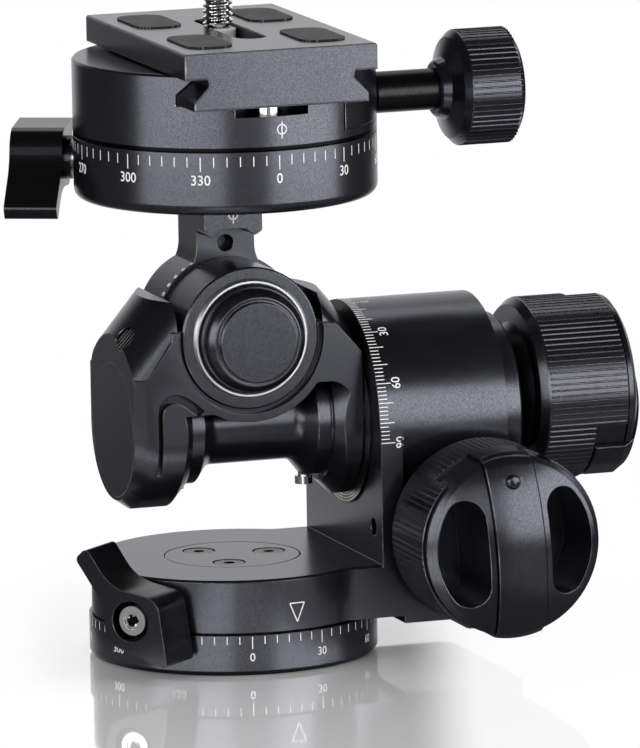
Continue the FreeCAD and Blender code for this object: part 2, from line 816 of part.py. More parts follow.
def make_pitch_axle():
    return rod(axle_radius, (0, drum_front + ring_seat, pitch_height),
               (0, half_depth + 0.6, pitch_height))


def make_rear_drum():
    start = hub_back + 0.2
    face = half_depth + 0.4
    seat = half_depth - 0.6
    drum = turned([
        (axle_radius, start), (drum_radius, start), (drum_radius, face, 0, 0.35),
        (rear_cap_radius, face), (rear_cap_radius, seat), (axle_radius, seat)])
    return aim(drum, (0, 0, pitch_height), (0, 1, 0))


def make_rear_cap():
    base = half_depth + 0.6
    seat = half_depth - 0.6
    cap = turned([
        (0, base), (axle_radius, base), (axle_radius, seat), (rear_cap_radius, seat),
        (rear_cap_radius, base + 0.8, 0, 0.4), (0, base + 0.8)])
    return aim(cap, (0, 0, pitch_height), (0, 1, 0))


# ---------------------------------------------------------------- cradle
def make_cradle():
    """The neck that carries the upper ring, with its hub below and its index block in front."""
    over = neck_bend_rise + 10
    hub = rod(hub_radius, (0, hub_front, pitch_height), (0, hub_back, pitch_height))
    lower_hub = rod(lower_hub_radius, (0, hub_front, pitch_height), (0, hub_back, pitch_height))
    sector = block(-hub_radius - 1, hub_radius + 1, hub_front, hub_back,
                   pitch_height - 4.5, pitch_height + over)
    hub = fuse(hub.common(sector), lower_hub)
    depth = hub_back - hub_front
    side, foot = neck_half_width, neck_foot_half
    bend = pitch_height + neck_bend_rise
    foot_height = pitch_height + neck_foot_rise
    neck_outline = [
        (-side, cradle_top), (side, cradle_top), (side, bend, neck_bend_round),
        (foot, foot_height), (foot, foot_height - 3.5), (-foot, foot_height - 3.5),
        (-foot, foot_height), (-side, bend, neck_bend_round)]
    neck = along_y(plate_of(neck_outline, depth), hub_front)
    low = cradle_top - block_drop
    front = plate_of([
        (-side, low + 0.6, 0.8), (-side + 1.6, low - 0.6, 0.4), (-2.6, low + 1.2, 2.0),
        (2.6, low + 1.2, 2.0), (side - 1.6, low - 0.4, 0.4), (side, low + 0.6, 0.8),
        (side, cradle_top), (-side, cradle_top)], hub_front - block_front + 1)
    front = along_y(front, block_front)
    flange = turned([(0, cradle_top - 2.6), (12.5, cradle_top - 2.6), (15.0, cradle_top),
                     (0, cradle_top)])
    flange = flange.common(block(-side, side, block_front, hub_back, low, cradle_top))
    body = fuse(hub, neck, front, flange)
    bore = rod(axle_radius + running_gap, (0, hub_front - 1, pitch_height),
               (0, hub_back + 1, pitch_height))
    wheel_back = pitch_wheel_width / 2 + 0.3
    wheel_seat = rod(wheel_hub_radius, (0, hub_front - 1, pitch_height),
                     (0, wheel_hub_end, pitch_height))
    wheel_face = rod(drum_bore, (0, hub_front - 1, pitch_height), (0, wheel_back, pitch_height))
    worm_gap = rod(tube_bore, (-30, 0, drive_height), (30, 0, drive_height))
    screw_hole = rod(cradle_screw_radius, (0, cradle_screw_y, cradle_top - 9),
                     (0, cradle_screw_y, cradle_top + 1))
    set_rise = pitch_height + 18
    set_hole = rod(1.8, (0, hub_front - 1, set_rise), (0, hub_front + 3, set_rise))
    return cut(body, bore, wheel_seat, wheel_face, worm_gap, screw_hole, set_hole)


def make_pitch_wheel():
    module = 2 * pitch_wheel_radius() / pitch_teeth
    disc = gear_disc(pitch_teeth, module, pitch_wheel_width)
    hub = rod(wheel_hub_radius, (0, 0, -wheel_hub_end), (0, 0, -pitch_wheel_width / 2 + 0.5))
    disc = fuse(disc, hub)
    disc = cut(disc, rod(axle_radius + running_gap, (0, 0, -8), (0, 0, 8)))
    return aim(disc, (0, 0, pitch_height), (0, -1, 0))


def pitch_wheel_radius():
    return pitch_rise - drive_rise - pitch_worm_pitch_radius


def make_pitch_drive_shaft():
    module = 2 * pitch_wheel_radius() / pitch_teeth
    body = worm_blank(pitch_worm_pitch_radius, module, pitch_worm_length)
    shaft = rod(pitch_shaft_radius, (0, 0, lobe_face + 3.5),
                (0, 0, pitch_knob_front - knob_floor - 5.0))
    return aim(fuse(body, shaft), (0, 0, drive_height), (1, 0, 0))


# ---------------------------------------------------------------- knobs
def knob_rim(length, shaft_radius, neck):
    """The gripping ring about Z with its bell-shaped back; the back is at Z = 0."""
    inside = face_radius + easy_gap
    top = length - rim_short
    step = length - rim_short - strap_wrap + 1.2
    rim = turned([
        (shaft_radius, -neck), (11.5, -neck, 0, 0.3 * neck), (14.5, 0.0),
        (knob_radius - 1.4, 0.0), (knob_radius, 1.6), (knob_radius, top),
        (inside, top), (inside, knob_floor), (shaft_radius, knob_floor)])
    wrap_track = pipe(knob_radius + 2, knob_radius - strap_under - 0.1, (0, 0, step), (0, 0, length))
    sweep = []
    for end in (-1, 1):
        for turn in (-10, 0, 10, 20, 30):
            tooth = block(-strap_half_width - 0.4, strap_half_width + 0.4, 0, knob_radius + 3,
                          step, length)
            tooth.rotate(V(0, 0, 0), V(0, 0, 1), turn - 5 + (0 if end > 0 else 180))
            sweep.append(tooth)
    window = sweep[0].multiFuse(sweep[1:])
    return cut(rim, wrap_track.common(window))


def crown_radius():
    """Radius of the sphere that the face's front is part of."""
    edge = face_edge_radius - 1.0
    return (edge ** 2 + face_crown ** 2) / (2 * face_crown)


def crown_ball(length, lift):
    """The ball whose top is the face's domed front, raised by a lift."""
    radius = crown_radius()
    return Part.makeSphere(radius + lift, V(0, 0, length + face_crown - radius))


def knob_face(length):
    """The domed handle plate about Z with its two finger recesses."""
    top = length + face_crown
    body = turned([
        (0, knob_floor + 0.3), (face_radius, knob_floor + 0.3), (face_radius, length - 1.3),
        (face_edge_radius, length - 1.3), (face_edge_radius, length - 0.3),
        (face_edge_radius - 1.0, length + 0.4), (face_edge_radius - 1.0, top), (0, top)])
    body = body.common(crown_ball(length, 0.4))
    shaft_hole = rod(roll_shaft_radius + running_gap, (0, 0, 0), (0, 0, length - knob_floor - 4.9))
    reach = 2 * face_edge_radius
    outer = rod(face_edge_radius - recess_wall, (0, 0, recess_floor), (0, 0, top + 2))
    pocket = outer.common(block(recess_inner, reach, -reach, reach, recess_floor, top + 2))

    def upright(e):
        return abs(e.tangentAt(e.FirstParameter).z) > 0.99 and e.Length > length / 2
    pocket = soften(pocket, recess_corner, upright)
    other = pocket.mirror(V(0, 0, 0), V(1, 0, 0))
    return cut(body, shaft_hole, pocket, other)


def knob_strap(length):
    """The strap about Z that lies on the domed face and wraps back over the rim."""
    outside = knob_radius + strap_over
    foot = length - rim_short - strap_wrap + 1.6
    inside = knob_radius - strap_under
    shoulder = outside - 1.8
    body = turned([
        (0, length - 2), (inside, length - 2), (inside, foot), (outside, foot, 0, 0.3),
        (outside, length - 1.4), (shoulder, length + 1.4),
        (shoulder, length + face_crown + 2), (0, length + face_crown + 2)])
    body = body.common(crown_ball(length, 0.4 + strap_stand))
    strap = body.common(block(-strap_half_width, strap_half_width, -30, 30, 0, length + 10))
    return strap


def fitted_strap(length):
    """The strap with the face and its pin's hole taken out of it."""
    under = crown_ball(length, 0.4)
    under = under.common(rod(face_edge_radius - 1.0, (0, 0, 0), (0, 0, length + 10)))
    edge = turned([
        (0, 0), (face_edge_radius, 0), (face_edge_radius, length - 0.3),
        (face_edge_radius - 1.0, length + 0.4), (0, length + 0.4)])
    hole = rod(pin_radius, (0, strap_pin_radius, pin_seat(length)),
               (0, strap_pin_radius, length + 10))
    return cut(knob_strap(length), under, edge, hole)


def pin_seat(length):
    """Height of the pin's foot: just over the domed face at the pin's inner side."""
    ball = crown_radius() + 0.4
    centre = length + face_crown - crown_radius()
    return centre + math.sqrt(ball ** 2 - (strap_pin_radius - pin_radius) ** 2) + 0.05


def knob_pin(length):
    """The small round pin that stands on the strap."""
    low = pin_seat(length)
    top = low + 1.4
    pin = turned([(0, low), (pin_radius, low), (pin_radius, top - 0.3, 0, 0.4), (0, top)])
    pin.translate(V(0, strap_pin_radius, 0))
    return pin


def placed_roll_knob(shape):
    turn = FreeCAD.Placement(V(roll_drive_x, roll_knob_back, roll_worm_height),
                             FreeCAD.Rotation(V(1, 0, 0), 90))
    spin = FreeCAD.Placement(V(0, 0, 0), FreeCAD.Rotation(V(0, 0, 1), roll_knob_spin))
    return placed(shape, turn.multiply(spin))


def placed_pitch_knob(shape):
    turn = FreeCAD.Placement(V(pitch_knob_back, 0, drive_height),
                             FreeCAD.Rotation(V(0, 1, 0), 90))
    spin = FreeCAD.Placement(V(0, 0, 0), FreeCAD.Rotation(V(0, 0, 1), pitch_knob_spin))
    return placed(shape, turn.multiply(spin))


def roll_knob_length():
    return roll_knob_back - roll_knob_front


def pitch_knob_length():
    return pitch_knob_front - pitch_knob_back


# ---------------------------------------------------------------- levers
def lever_body():
    """The wing lever about Z: its root is at Z = 0 and its wing points up to the left."""
    wing = [(-13.1, 12.3, 1.2), (-10.4, 14.9, 1.2), (-4.8, 6.9, 10.0), (6.5, 5.0, 3.6),
            (8.7, -9.6, 0.8), (-6.1, -4.9, 5.0), (-6.4, 3.0, 9.0)]
    body = plate_of(wing, lever_width)
    body.translate(V(0, 0, lever_stand_off))
    hub = rod(lever_hub_radius, (0, 0, 0), (0, 0, lever_stand_off))
    top = lever_width + lever_stand_off
    seat = rod(lever_head_radius + 0.6, (0, 0, lever_head_seat()), (0, 0, top + 1))
    bore = rod(lever_screw_radius, (0, 0, -1), (0, 0, top + 1))
    return cut(fuse(body, hub), seat, bore)


def lever_head_seat():
    return lever_width + lever_stand_off - 3.4


def lever_screw():
    seat = lever_head_seat()
    screw = turned([
        (0, -4.5), (lever_screw_radius, -4.5), (lever_screw_radius, seat),
        (lever_head_radius, seat), (lever_head_radius, seat + 1.2, 0.5),
        (2.4, seat + 2.3, 0.5), (0, seat + 2.4)])
    return cut(screw, aim(socket_cutter(1.5, 1.2), (0, 0, seat + 2.4), (0, 0, 1)))


def lever_stud(inner, outer):
    """A pressure stud about Z from the clamped post out to the lever's root."""
    wide = lever_stud_radius
    stud = turned([(0, inner), (wide - 0.8, inner), (wide, inner + 1.0), (wide, outer), (0, outer)])
    return cut(stud, rod(lever_screw_radius, (0, 0, outer - 5.0), (0, 0, outer + 1)))


def placed_lever(shape, angle, radius, height, spin):
    """Sets a lever piece with its Z axis pointing outward at the given angle."""
    stand = FreeCAD.Rotation(V(1, 0, 0), 90)
    turn = FreeCAD.Rotation(V(0, 0, 1), -angle)
    roll = FreeCAD.Rotation(V(0, 0, 1), spin)
    place = FreeCAD.Placement(V(*radial_point(angle, radius, height)),
                              turn.multiply(stand).multiply(roll))
    return placed(shape, place)


# ---------------------------------------------------------------- upper ring and clamp
def make_top_scale_ring():
    bore = spigot_radius + 0.1
    ring = turned([
        (0, top_ring_bottom), (top_radius, top_ring_bottom, top_ring_round),
        (top_radius, top_ring_top), (bore, top_ring_top), (bore, top_floor), (0, top_floor)])
    screw_hole = rod(cradle_screw_head, (0, cradle_screw_y, top_ring_bottom - 5),
                     (0, cradle_screw_y, top_floor + 1))
    stud_bore = rod(lever_stud_radius + running_gap,
                    radial_point(top_lever_angle, spigot_radius - 3, top_lever_height),
                    radial_point(top_lever_angle, top_radius + 2, top_lever_height))
    return cut(ring, screw_hole, stud_bore)


def make_cradle_screw():
    top = top_floor - 0.1
    neck = top_floor - 2.0
    screw = turned([
        (0, cradle_top - 8.5), (cradle_screw_radius, cradle_top - 8.5),
        (cradle_screw_radius, neck), (cradle_screw_head, neck), (cradle_screw_head, top), (0, top)])
    screw = cut(screw, aim(socket_cutter(1.3, 1.1), (0, 0, top), (0, 0, 1)))
    screw.translate(V(0, cradle_screw_y, 0))
    return screw


def dovetail_side(sign):
    """The jaw face that a dovetail's side bears on, from its foot up, as (x, z)."""
    lip = waist_half + 0.8
    return [(sign * (dovetail_half + jaw_gap), plate_bottom + dovetail_edge + 0.1),
            (sign * (waist_half + jaw_gap), plate_shoulder - 1.3),
            (sign * lip, plate_shoulder - 0.1),
            (sign * lip, clamp_top + 5)]


def channel_outline():
    """What the clamp's channel leaves free, drawn as (x, z)."""
    foot, waist, lip, top = dovetail_side(-1)
    beyond = top_radius + 8
    return [(foot[0], clamp_floor), (beyond, clamp_floor), (beyond, top[1]), top, lip, waist, foot]


def make_clamp_body():
    low = top_ring_top + plain_gap
    over = clamp_top + 5
    reach = top_radius + 8
    foot = top_floor + 0.3
    disc = turned([
        (0, foot), (spigot_radius, foot), (spigot_radius, low), (top_radius, low),
        (top_radius, clamp_top, 0, 0.5), (0, clamp_top)])
    channel = along_y(plate_of(channel_outline(), 2 * reach), -reach)
    jaw_room = block(jaw_split - 0.4, reach, -reach, reach, low + jaw_ledge, over)
    screw_bore = rod(clamp_screw_radius + 0.1, (-8, 0, screw_height), (20, 0, screw_height))
    recess = stop_recess_half
    stop_recess = block(-recess, recess, -reach, stop_screw_y + stop_head_radius + 0.2,
                        clamp_floor - stop_recess_depth, over)
    pin_height = screw_height - 0.3
    guide_bores = [rod(guide_pin_radius + 0.1, (6, y, pin_height), (20, y, pin_height))
                   for y in (-guide_pin_side, guide_pin_side)]
    stop_hole = rod(stop_screw_radius, (0, stop_screw_y, clamp_floor - 7),
                    (0, stop_screw_y, clamp_floor))
    return cut(disc, channel, jaw_room, screw_bore, stop_recess, stop_hole, *guide_bores)


def make_clamp_jaw():
    low = top_ring_top + plain_gap + jaw_ledge + 0.1
    reach = top_radius + 8
    disc = turned([(0, low), (top_radius, low), (top_radius, clamp_top, 0, 0.5), (0, clamp_top)])
    foot, waist, lip, top = dovetail_side(1)
    side_outline = [
        (jaw_split, low), (reach, low), (reach, top[1]), top, lip, waist, foot,
        (foot[0], clamp_floor + 0.05), (jaw_split, clamp_floor + 0.05)]
    side = along_y(plate_of(side_outline, 2 * reach), -reach)
    jaw = disc.common(side)
    bore = rod(clamp_screw_radius + 0.25, (10, 0, screw_height), (reach, 0, screw_height))
    pin_height = screw_height - 0.3
    pins = [rod(guide_pin_radius, (jaw_split - 8.6, y, pin_height), (jaw_split + 4.4, y, pin_height))
            for y in (-guide_pin_side, guide_pin_side)]
    return fuse(cut(jaw, bore), *pins)


def make_clamp_screw():
    end = clamp_knob_back + 3
    return turned_x([
        (0, -6.0), (clamp_screw_radius, -6.0), (clamp_screw_radius, clamp_shaft_from),
        (clamp_shaft_radius, clamp_shaft_from, 0, 0.4), (clamp_shaft_radius, end), (0, end)],
        screw_height)


def turned_x(corners, height):
    """A solid of revolution about the X direction at a height."""
    return aim(turned(corners), (0, 0, height), (1, 0, 0))


def make_clamp_knob():
    back, front, radius = clamp_knob_back, clamp_knob_front, clamp_knob_radius
    shaft = clamp_shaft_radius
    knob = turned([
        (shaft, back - 3.4), (5.8, back - 3.4, 0, 0.4), (6.6, back - 1.4), (radius - 1.4, back),
        (radius, back + 1.4), (radius, front - 1.4), (radius - 1.4, front), (0, front),
        (0, back + 3), (shaft, back + 3)])
    return aim(knob, (0, 0, screw_height), (1, 0, 0))


def make_clamp_stop_screw():
    base = clamp_floor - stop_recess_depth
    top = base + 2.1
    screw = turned([
        (0, base - 4), (stop_screw_radius, base - 4), (stop_screw_radius, base),
        (stop_head_radius, base), (stop_head_radius, top, 0.5), (0, top)])
    screw.translate(V(0, stop_screw_y, 0))
    return screw


# ---------------------------------------------------------------- plate
def plate_profile():
    half = plate_half_width
    waist = waist_half
    foot = plate_bottom + dovetail_edge
    return [
        (-half, plate_top, 0, 0.4), (-half, plate_shoulder), (-waist - 0.4, plate_shoulder),
        (-waist, plate_shoulder - 1.4), (-dovetail_half, foot), (-dovetail_half, plate_bottom),
        (dovetail_half, plate_bottom), (dovetail_half, foot), (waist, plate_shoulder - 1.4),
        (waist + 0.4, plate_shoulder), (half, plate_shoulder), (half, plate_top, 0, 0.4)]


def make_release_plate():
    length = plate_back - plate_front
    body = along_y(plate_of(plate_profile(), length), plate_front)
    slot = rounded_slot(slot_half_width, slot_front, slot_back, plate_bottom - 1, plate_top + 1)
    counter = rounded_slot(slot_half_width + counter_margin, slot_front - counter_margin + 0.7,
                           slot_back + counter_margin - 0.7, plate_bottom - 1,
                           plate_top - slot_roof)
    pads = [pad_outline_plate(x, y, pad_depth, 0.9) for x, y in pad_places()]
    return cut(body, slot, counter, *pads)


def rounded_slot(half_width_of_slot, front, back, low, high):
    r = half_width_of_slot
    shape = plate_of([(-r, front, r - 0.01), (r, front, r - 0.01), (r, back, r - 0.01),
                      (-r, back, r - 0.01)], high - low)
    shape.translate(V(0, 0, low))
    return shape


def pad_places():
    """Two pads on each side of the slot, near its front and near its back."""
    return [(x, y) for x in (-pad_side, pad_side) for y in (slot_front - 0.5, slot_back)]


def pad_outline_plate(x, y, depth, above):
    """A lens-shaped pad whose long side lies along Y, let into the plate's top."""
    long, wide = pad_half_length, pad_half_width
    corners = [(x - wide, y - long, pad_round), (x + wide, y - long, pad_round),
               (x + wide, y + long, pad_round), (x - wide, y + long, pad_round)]
    shape = plate_of(corners, depth + above)
    shape.translate(V(0, 0, plate_top - depth))
    return shape


def make_plate_pads():
    pads = [pad_outline_plate(x, y, pad_depth, pad_above) for x, y in pad_places()]
    return Part.makeCompound(pads)


def make_camera_screw_slider():
    """The sliding shoe that keeps the camera screw in the slot."""
    low, high = plate_top - slot_roof + 0.2, plate_top - 0.7
    half = slot_half_width - 0.15
    shoe = rounded_slot(half, camera_screw_y - 5.0, camera_screw_y + 5.0, low, high)
    return cut(shoe, rod(camera_neck_radius + running_gap, (0, camera_screw_y, low - 1),
                         (0, camera_screw_y, high + 1)))


def make_camera_screw():
    head_low = plate_bottom + 0.6
    seat = plate_top - slot_roof - 0.2
    top = plate_top + camera_thread_height
    thread = camera_thread_radius
    screw = turned([
        (0, head_low), (camera_head_radius, head_low), (camera_head_radius, seat),
        (camera_neck_radius, seat), (camera_neck_radius, plate_top + 0.1),
        (thread, plate_top + 0.1), (thread, top - 0.8), (thread - 0.7, top), (0, top)])
    coin_slot = block(-6.2, 6.2, -0.8, 0.8, plate_bottom, head_low + 1.8)
    screw = cut(screw, coin_slot)
    screw.translate(V(0, camera_screw_y, 0))
    return screw


# ---------------------------------------------------------------- all pieces
def all_pieces():
    roll_length, pitch_length = roll_knob_length(), pitch_knob_length()
    base_lever_radius = disc_radius + 0.4
    top_lever_radius = top_radius + 0.4
    stud_reach = base_lever_radius - post_radius - 0.1
    top_reach = top_lever_radius - spigot_radius - 0.1
    return {
        "base_scale_ring": make_base_scale_ring(),
        "tripod_bush": make_tripod_bush(),
        "base_glide_ring": make_base_glide_ring(),
        "base_cap": make_base_cap(),
        "base_cap_screws": make_base_cap_screws(),
        "bracket": make_bracket(),
        "base_lock_lever": placed_lever(lever_body(), base_lever_angle, base_lever_radius,
                                        base_lever_height, 0),
        "base_lock_screw": placed_lever(lever_screw(), base_lever_angle, base_lever_radius,
                                        base_lever_height, 0),
        "base_lock_stud": placed_lever(lever_stud(-stud_reach, 0.0), base_lever_angle,
                                       base_lever_radius, base_lever_height, 0),
        "bearing_ring": make_bearing_ring(),
        "barrel_collar": make_barrel_collar(),
        "roll_wheel": make_roll_wheel(),
        "roll_worm": make_roll_worm(),
        "roll_bush": make_roll_bush(),
        "roll_knob_rim": placed_roll_knob(knob_rim(roll_length, roll_shaft_radius, 0.3)),
        "roll_knob_face": placed_roll_knob(knob_face(roll_length)),
        "roll_knob_strap": placed_roll_knob(fitted_strap(roll_length)),
        "roll_knob_pin": placed_roll_knob(knob_pin(roll_length)),
        "pitch_knob_rim": placed_pitch_knob(knob_rim(pitch_length, pitch_shaft_radius, 2.8)),
        "pitch_knob_face": placed_pitch_knob(knob_face(pitch_length)),
        "pitch_knob_strap": placed_pitch_knob(fitted_strap(pitch_length)),
        "pitch_knob_pin": placed_pitch_knob(knob_pin(pitch_length)),
        "pitch_drive_shaft": make_pitch_drive_shaft(),
        "yoke": make_yoke(),
        "yoke_spindle": make_yoke_spindle(),
        "yoke_end_cap": make_yoke_end_cap(),
        "yoke_screws": make_yoke_screws(),
        "front_drum": make_front_drum(),
        "front_ring": make_front_ring(),
        "front_cap": make_front_cap(),
        "rear_drum": make_rear_drum(),
        "rear_cap": make_rear_cap(),
        "pitch_axle": make_pitch_axle(),
        "cradle": make_cradle(),
        "pitch_wheel": make_pitch_wheel(),
        "top_scale_ring": make_top_scale_ring(),
        "cradle_screw": make_cradle_screw(),
        "top_lock_lever": placed_lever(lever_body(), top_lever_angle, top_lever_radius,
                                       top_lever_height, top_lever_spin),
        "top_lock_screw": placed_lever(lever_screw(), top_lever_angle, top_lever_radius,
                                       top_lever_height, top_lever_spin),
        "top_lock_stud": placed_lever(lever_stud(-top_reach, 0.0), top_lever_angle,
                                      top_lever_radius, top_lever_height, 0),
        "clamp_body": make_clamp_body(),
        "clamp_jaw": make_clamp_jaw(),
        "clamp_screw": make_clamp_screw(),
        "clamp_knob": make_clamp_knob(),
        "clamp_stop_screw": make_clamp_stop_screw(),
        "release_plate": make_release_plate(),
        "plate_pads": make_plate_pads(),
        "camera_screw": make_camera_screw(),
        "camera_screw_slider": make_camera_screw_slider(),
    }


def main():
    os.makedirs("parts", exist_ok=True)
    for name, shape in all_pieces().items():
        shape.exportStep(os.path.join("parts", name + ".step"))


main()
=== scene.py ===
"""Looks of a geared tripod head: finishes, scales, knurls, threads and its studio."""

import json
import math

import bmesh
import bpy
from bpy.props import FloatProperty, FloatVectorProperty, IntProperty, PointerProperty
from mathutils import Matrix, Vector


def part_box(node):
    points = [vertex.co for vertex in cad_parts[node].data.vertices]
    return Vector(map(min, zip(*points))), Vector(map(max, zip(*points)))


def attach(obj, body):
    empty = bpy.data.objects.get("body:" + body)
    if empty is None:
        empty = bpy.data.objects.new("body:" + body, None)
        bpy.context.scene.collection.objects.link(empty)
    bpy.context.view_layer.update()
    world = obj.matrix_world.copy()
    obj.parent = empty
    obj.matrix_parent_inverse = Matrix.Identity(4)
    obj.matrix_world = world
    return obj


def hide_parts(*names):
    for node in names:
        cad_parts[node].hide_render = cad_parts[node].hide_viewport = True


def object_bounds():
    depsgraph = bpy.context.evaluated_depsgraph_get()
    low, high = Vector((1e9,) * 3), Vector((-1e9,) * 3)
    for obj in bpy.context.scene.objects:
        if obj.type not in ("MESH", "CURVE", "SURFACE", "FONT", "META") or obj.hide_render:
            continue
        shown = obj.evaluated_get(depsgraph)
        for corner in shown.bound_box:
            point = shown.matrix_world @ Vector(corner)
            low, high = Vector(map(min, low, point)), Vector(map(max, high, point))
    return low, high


bl_info = {
    "name": "Geared tripod head finish",
    "version": (1, 0, 0),
    "blender": (4, 5, 0),
    "location": "3D View > Sidebar > Head",
    "description": "Finishes, scales, knurls, threads and studio for the geared tripod head",
    "category": "Object",
}

MM = 0.001

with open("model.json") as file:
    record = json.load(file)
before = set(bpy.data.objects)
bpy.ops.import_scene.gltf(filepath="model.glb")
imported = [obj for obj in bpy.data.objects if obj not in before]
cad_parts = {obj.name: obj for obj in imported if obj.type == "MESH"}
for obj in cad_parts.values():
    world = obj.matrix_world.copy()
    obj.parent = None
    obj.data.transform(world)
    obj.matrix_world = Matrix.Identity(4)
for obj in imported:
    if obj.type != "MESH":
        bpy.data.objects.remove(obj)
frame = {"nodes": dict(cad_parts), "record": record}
CAD_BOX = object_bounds()
NODES = frame["nodes"]
FINISHES = {}

# Places and sizes of the head, in millimetres and degrees.
ROLL_HEIGHT = 49.0
PITCH_HEIGHT = 68.86
BASE_RING_RADIUS = 30.5
BRACKET_RADIUS = 29.9
TOP_RING_RADIUS = 32.0
BARREL_RADIUS = 24.0
BARREL_FLAT = 24.5
BARREL_FLAT_END = 30.0
BARREL_LINES_START = 25.3
BARREL_ZERO = 83.3
ROLL_KNOB_CENTRE = (45.7, -26.4, 27.0)
ROLL_KNOB_SPIN = 4.0
PITCH_KNOB_CENTRE = (63.4, 0.0, 51.1)
PITCH_KNOB_SPIN = 49.0
KNOB_RADIUS = 19.6
CLAMP_KNOB_RADIUS = 12.2
CLAMP_KNOB_HEIGHT = 116.9
FRONT = -90.0
SCREW_PLACE = 3.4
HOOK_OUTER = (
    (-20.95, 40.9), (-20.9, 47.5), (-20.8, 54.6), (-19.4, 57.3), (-16.5, 58.1), (-13.2, 56.5),
    (-10.7, 54.3),
)
HOOK_INNER = (
    (-20.0, 40.8), (-19.9, 47.4), (-19.8, 54.1), (-18.7, 55.8), (-16.8, 56.2), (-14.9, 55.3),
    (-11.8, 53.1),
)
BLACK = (0.0, 0.0, 0.0, 1.0)


# ---------------------------------------------------------------- shader maths
class Value:
    """One socket of a material, with arithmetic that adds Math nodes."""

    def __init__(self, finish, socket):
        self.finish = finish
        self.socket = socket

    def math(self, operation, *others, clamp=False, first=None):
        """This value and others through a Math node; first, if given, goes before them."""
        items = (self, *others) if first is None else (first, self)
        node = self.finish.raw("ShaderNodeMath", {"operation": operation, "use_clamp": clamp})
        for socket, item in zip(node.inputs, items):
            self.finish.feed(socket, item)
        return Value(self.finish, node.outputs[0])

    def __add__(self, other):
        return self.math("ADD", other)

    __radd__ = __add__

    def __sub__(self, other):
        return self.math("SUBTRACT", other)

    def __rsub__(self, other):
        return self.math("SUBTRACT", first=other)

    def __mul__(self, other):
        return self.math("MULTIPLY", other)

    __rmul__ = __mul__

    def __truediv__(self, other):
        return self.math("DIVIDE", other)

    def __rtruediv__(self, other):
        return self.math("DIVIDE", first=other)

    def __pow__(self, other):
        return self.math("POWER", other)

    def clamped(self):
        return self.math("ADD", 0.0, clamp=True)

    def absolute(self):
        return self.math("ABSOLUTE")

    def sine(self):
        return self.math("SINE")

    def ramp(self, low, high, out_low=0.0, out_high=1.0):
        """A smooth step from out_low, at low and below, to out_high, at high and above."""
        return self.finish.node(
            "ShaderNodeMapRange",
            {"interpolation_type": "SMOOTHSTEP"},
            {
                "Value": self, "From Min": low, "From Max": high,
                "To Min": out_low, "To Max": out_high,
            },
        )


class Finish:
    """A material under construction: its node tree and the ways to add to it."""

    def __init__(self, name):
        self.material = bpy.data.materials.new(name)
        self.material.use_nodes = True
        self.nodes = self.material.node_tree.nodes
        self.links = self.material.node_tree.links
        self.shader = self.nodes["Principled BSDF"]
        self.place = self.raw("ShaderNodeTexCoord").outputs["Object"]

    def feed(self, socket, item):
        if isinstance(item, Value):
            self.links.new(item.socket, socket)
        elif isinstance(item, bpy.types.NodeSocket):
            self.links.new(item, socket)
        else:
            socket.default_value = item

    def raw(self, kind, settings=None, inputs=None):
        """A new node, with its settings made and its inputs fed."""
        node = self.nodes.new(kind)
        for name, value in (settings or {}).items():
            setattr(node, name, value)
        for name, value in (inputs or {}).items():
            self.feed(node.inputs[name], value)
        return node

    def node(self, kind, settings=None, inputs=None):
        return Value(self, self.raw(kind, settings, inputs).outputs[0])

    def named(self, kind, output, settings=None, inputs=None):
        return Value(self, self.raw(kind, settings, inputs).outputs[output])

    def noise(self, scale, detail=2.0, roughness=0.5):
        return self.node("ShaderNodeTexNoise", {"noise_dimensions": "3D"}, {
            "Vector": self.place, "Scale": scale, "Detail": detail, "Roughness": roughness,
        })

    def colour_mix(self, factor, first, second, how="MIX"):
        node = self.raw("ShaderNodeMix", {"data_type": "RGBA", "blend_type": how})
        sockets = {s.identifier: s for s in node.inputs}
        self.feed(sockets["Factor_Float"], factor)
        self.feed(sockets["A_Color"], first)
        self.feed(sockets["B_Color"], second)
        return Value(self, next(s for s in node.outputs if s.identifier == "Result_Color"))

    def blend(self, factor, first, second):
        """A Mix Shader of two shader sockets."""
        node = self.raw("ShaderNodeMixShader")
        self.feed(node.inputs[0], factor)
        self.links.new(first, node.inputs[1])
        self.links.new(second, node.inputs[2])
        return node.outputs[0]

    def tinted(self, colour, factor):
        """A colour made lighter or darker by a factor."""
        shade = self.colour_mix(factor * 0.5, BLACK, grey(2.0))
        return self.colour_mix(1.0, colour, shade, "MULTIPLY")

    def parts(self):
        """X, Y and Z of the place on the object."""
        node = self.raw("ShaderNodeSeparateXYZ", None, {0: self.place})
        return [Value(self, socket) for socket in node.outputs]

    def rounded(self, radius):
        """The surface's normal with every edge rounded off."""
        return self.node("ShaderNodeBevel", {"samples": 4}, {"Radius": radius})

    def edge(self, rounded):
        """Where the surface turns sharply: 0 on flats, 1 on edges."""
        flat = self.named("ShaderNodeNewGeometry", "Normal")
        alike = self.named(
            "ShaderNodeVectorMath", "Value", {"operation": "DOT_PRODUCT"}, {0: rounded, 1: flat}
        )
        return (1.0 - alike).ramp(0.015, 0.20)

    def hollow_shade(self, reach):
        """How much painted shade a place gets: 1 deep in a hollow or joint, 0 on open surfaces."""
        open_share = self.named(
            "ShaderNodeAmbientOcclusion", "AO", {"samples": 6}, {"Distance": reach}
        )
        return open_share.ramp(0.12, 0.55, 0.92, 0.0)

    def ray(self, kind):
        return self.named("ShaderNodeLightPath", f"Is {kind} Ray")

    def bump(self, height, distance, strength, over=None):
        inputs = {"Height": height, "Distance": distance, "Strength": strength}
        if over:
            inputs["Normal"] = over
        return self.node("ShaderNodeBump", None, inputs)

    def set(self, **sockets):
        for name, value in sockets.items():
            self.feed(self.shader.inputs[name.replace("_", " ")], value)


def grey(level, blue=0.0):
    return (level, level, level * (1.0 + blue), 1.0)


def toned(colour, factor):
    return (*(channel * factor for channel in colour[:3]), 1.0)


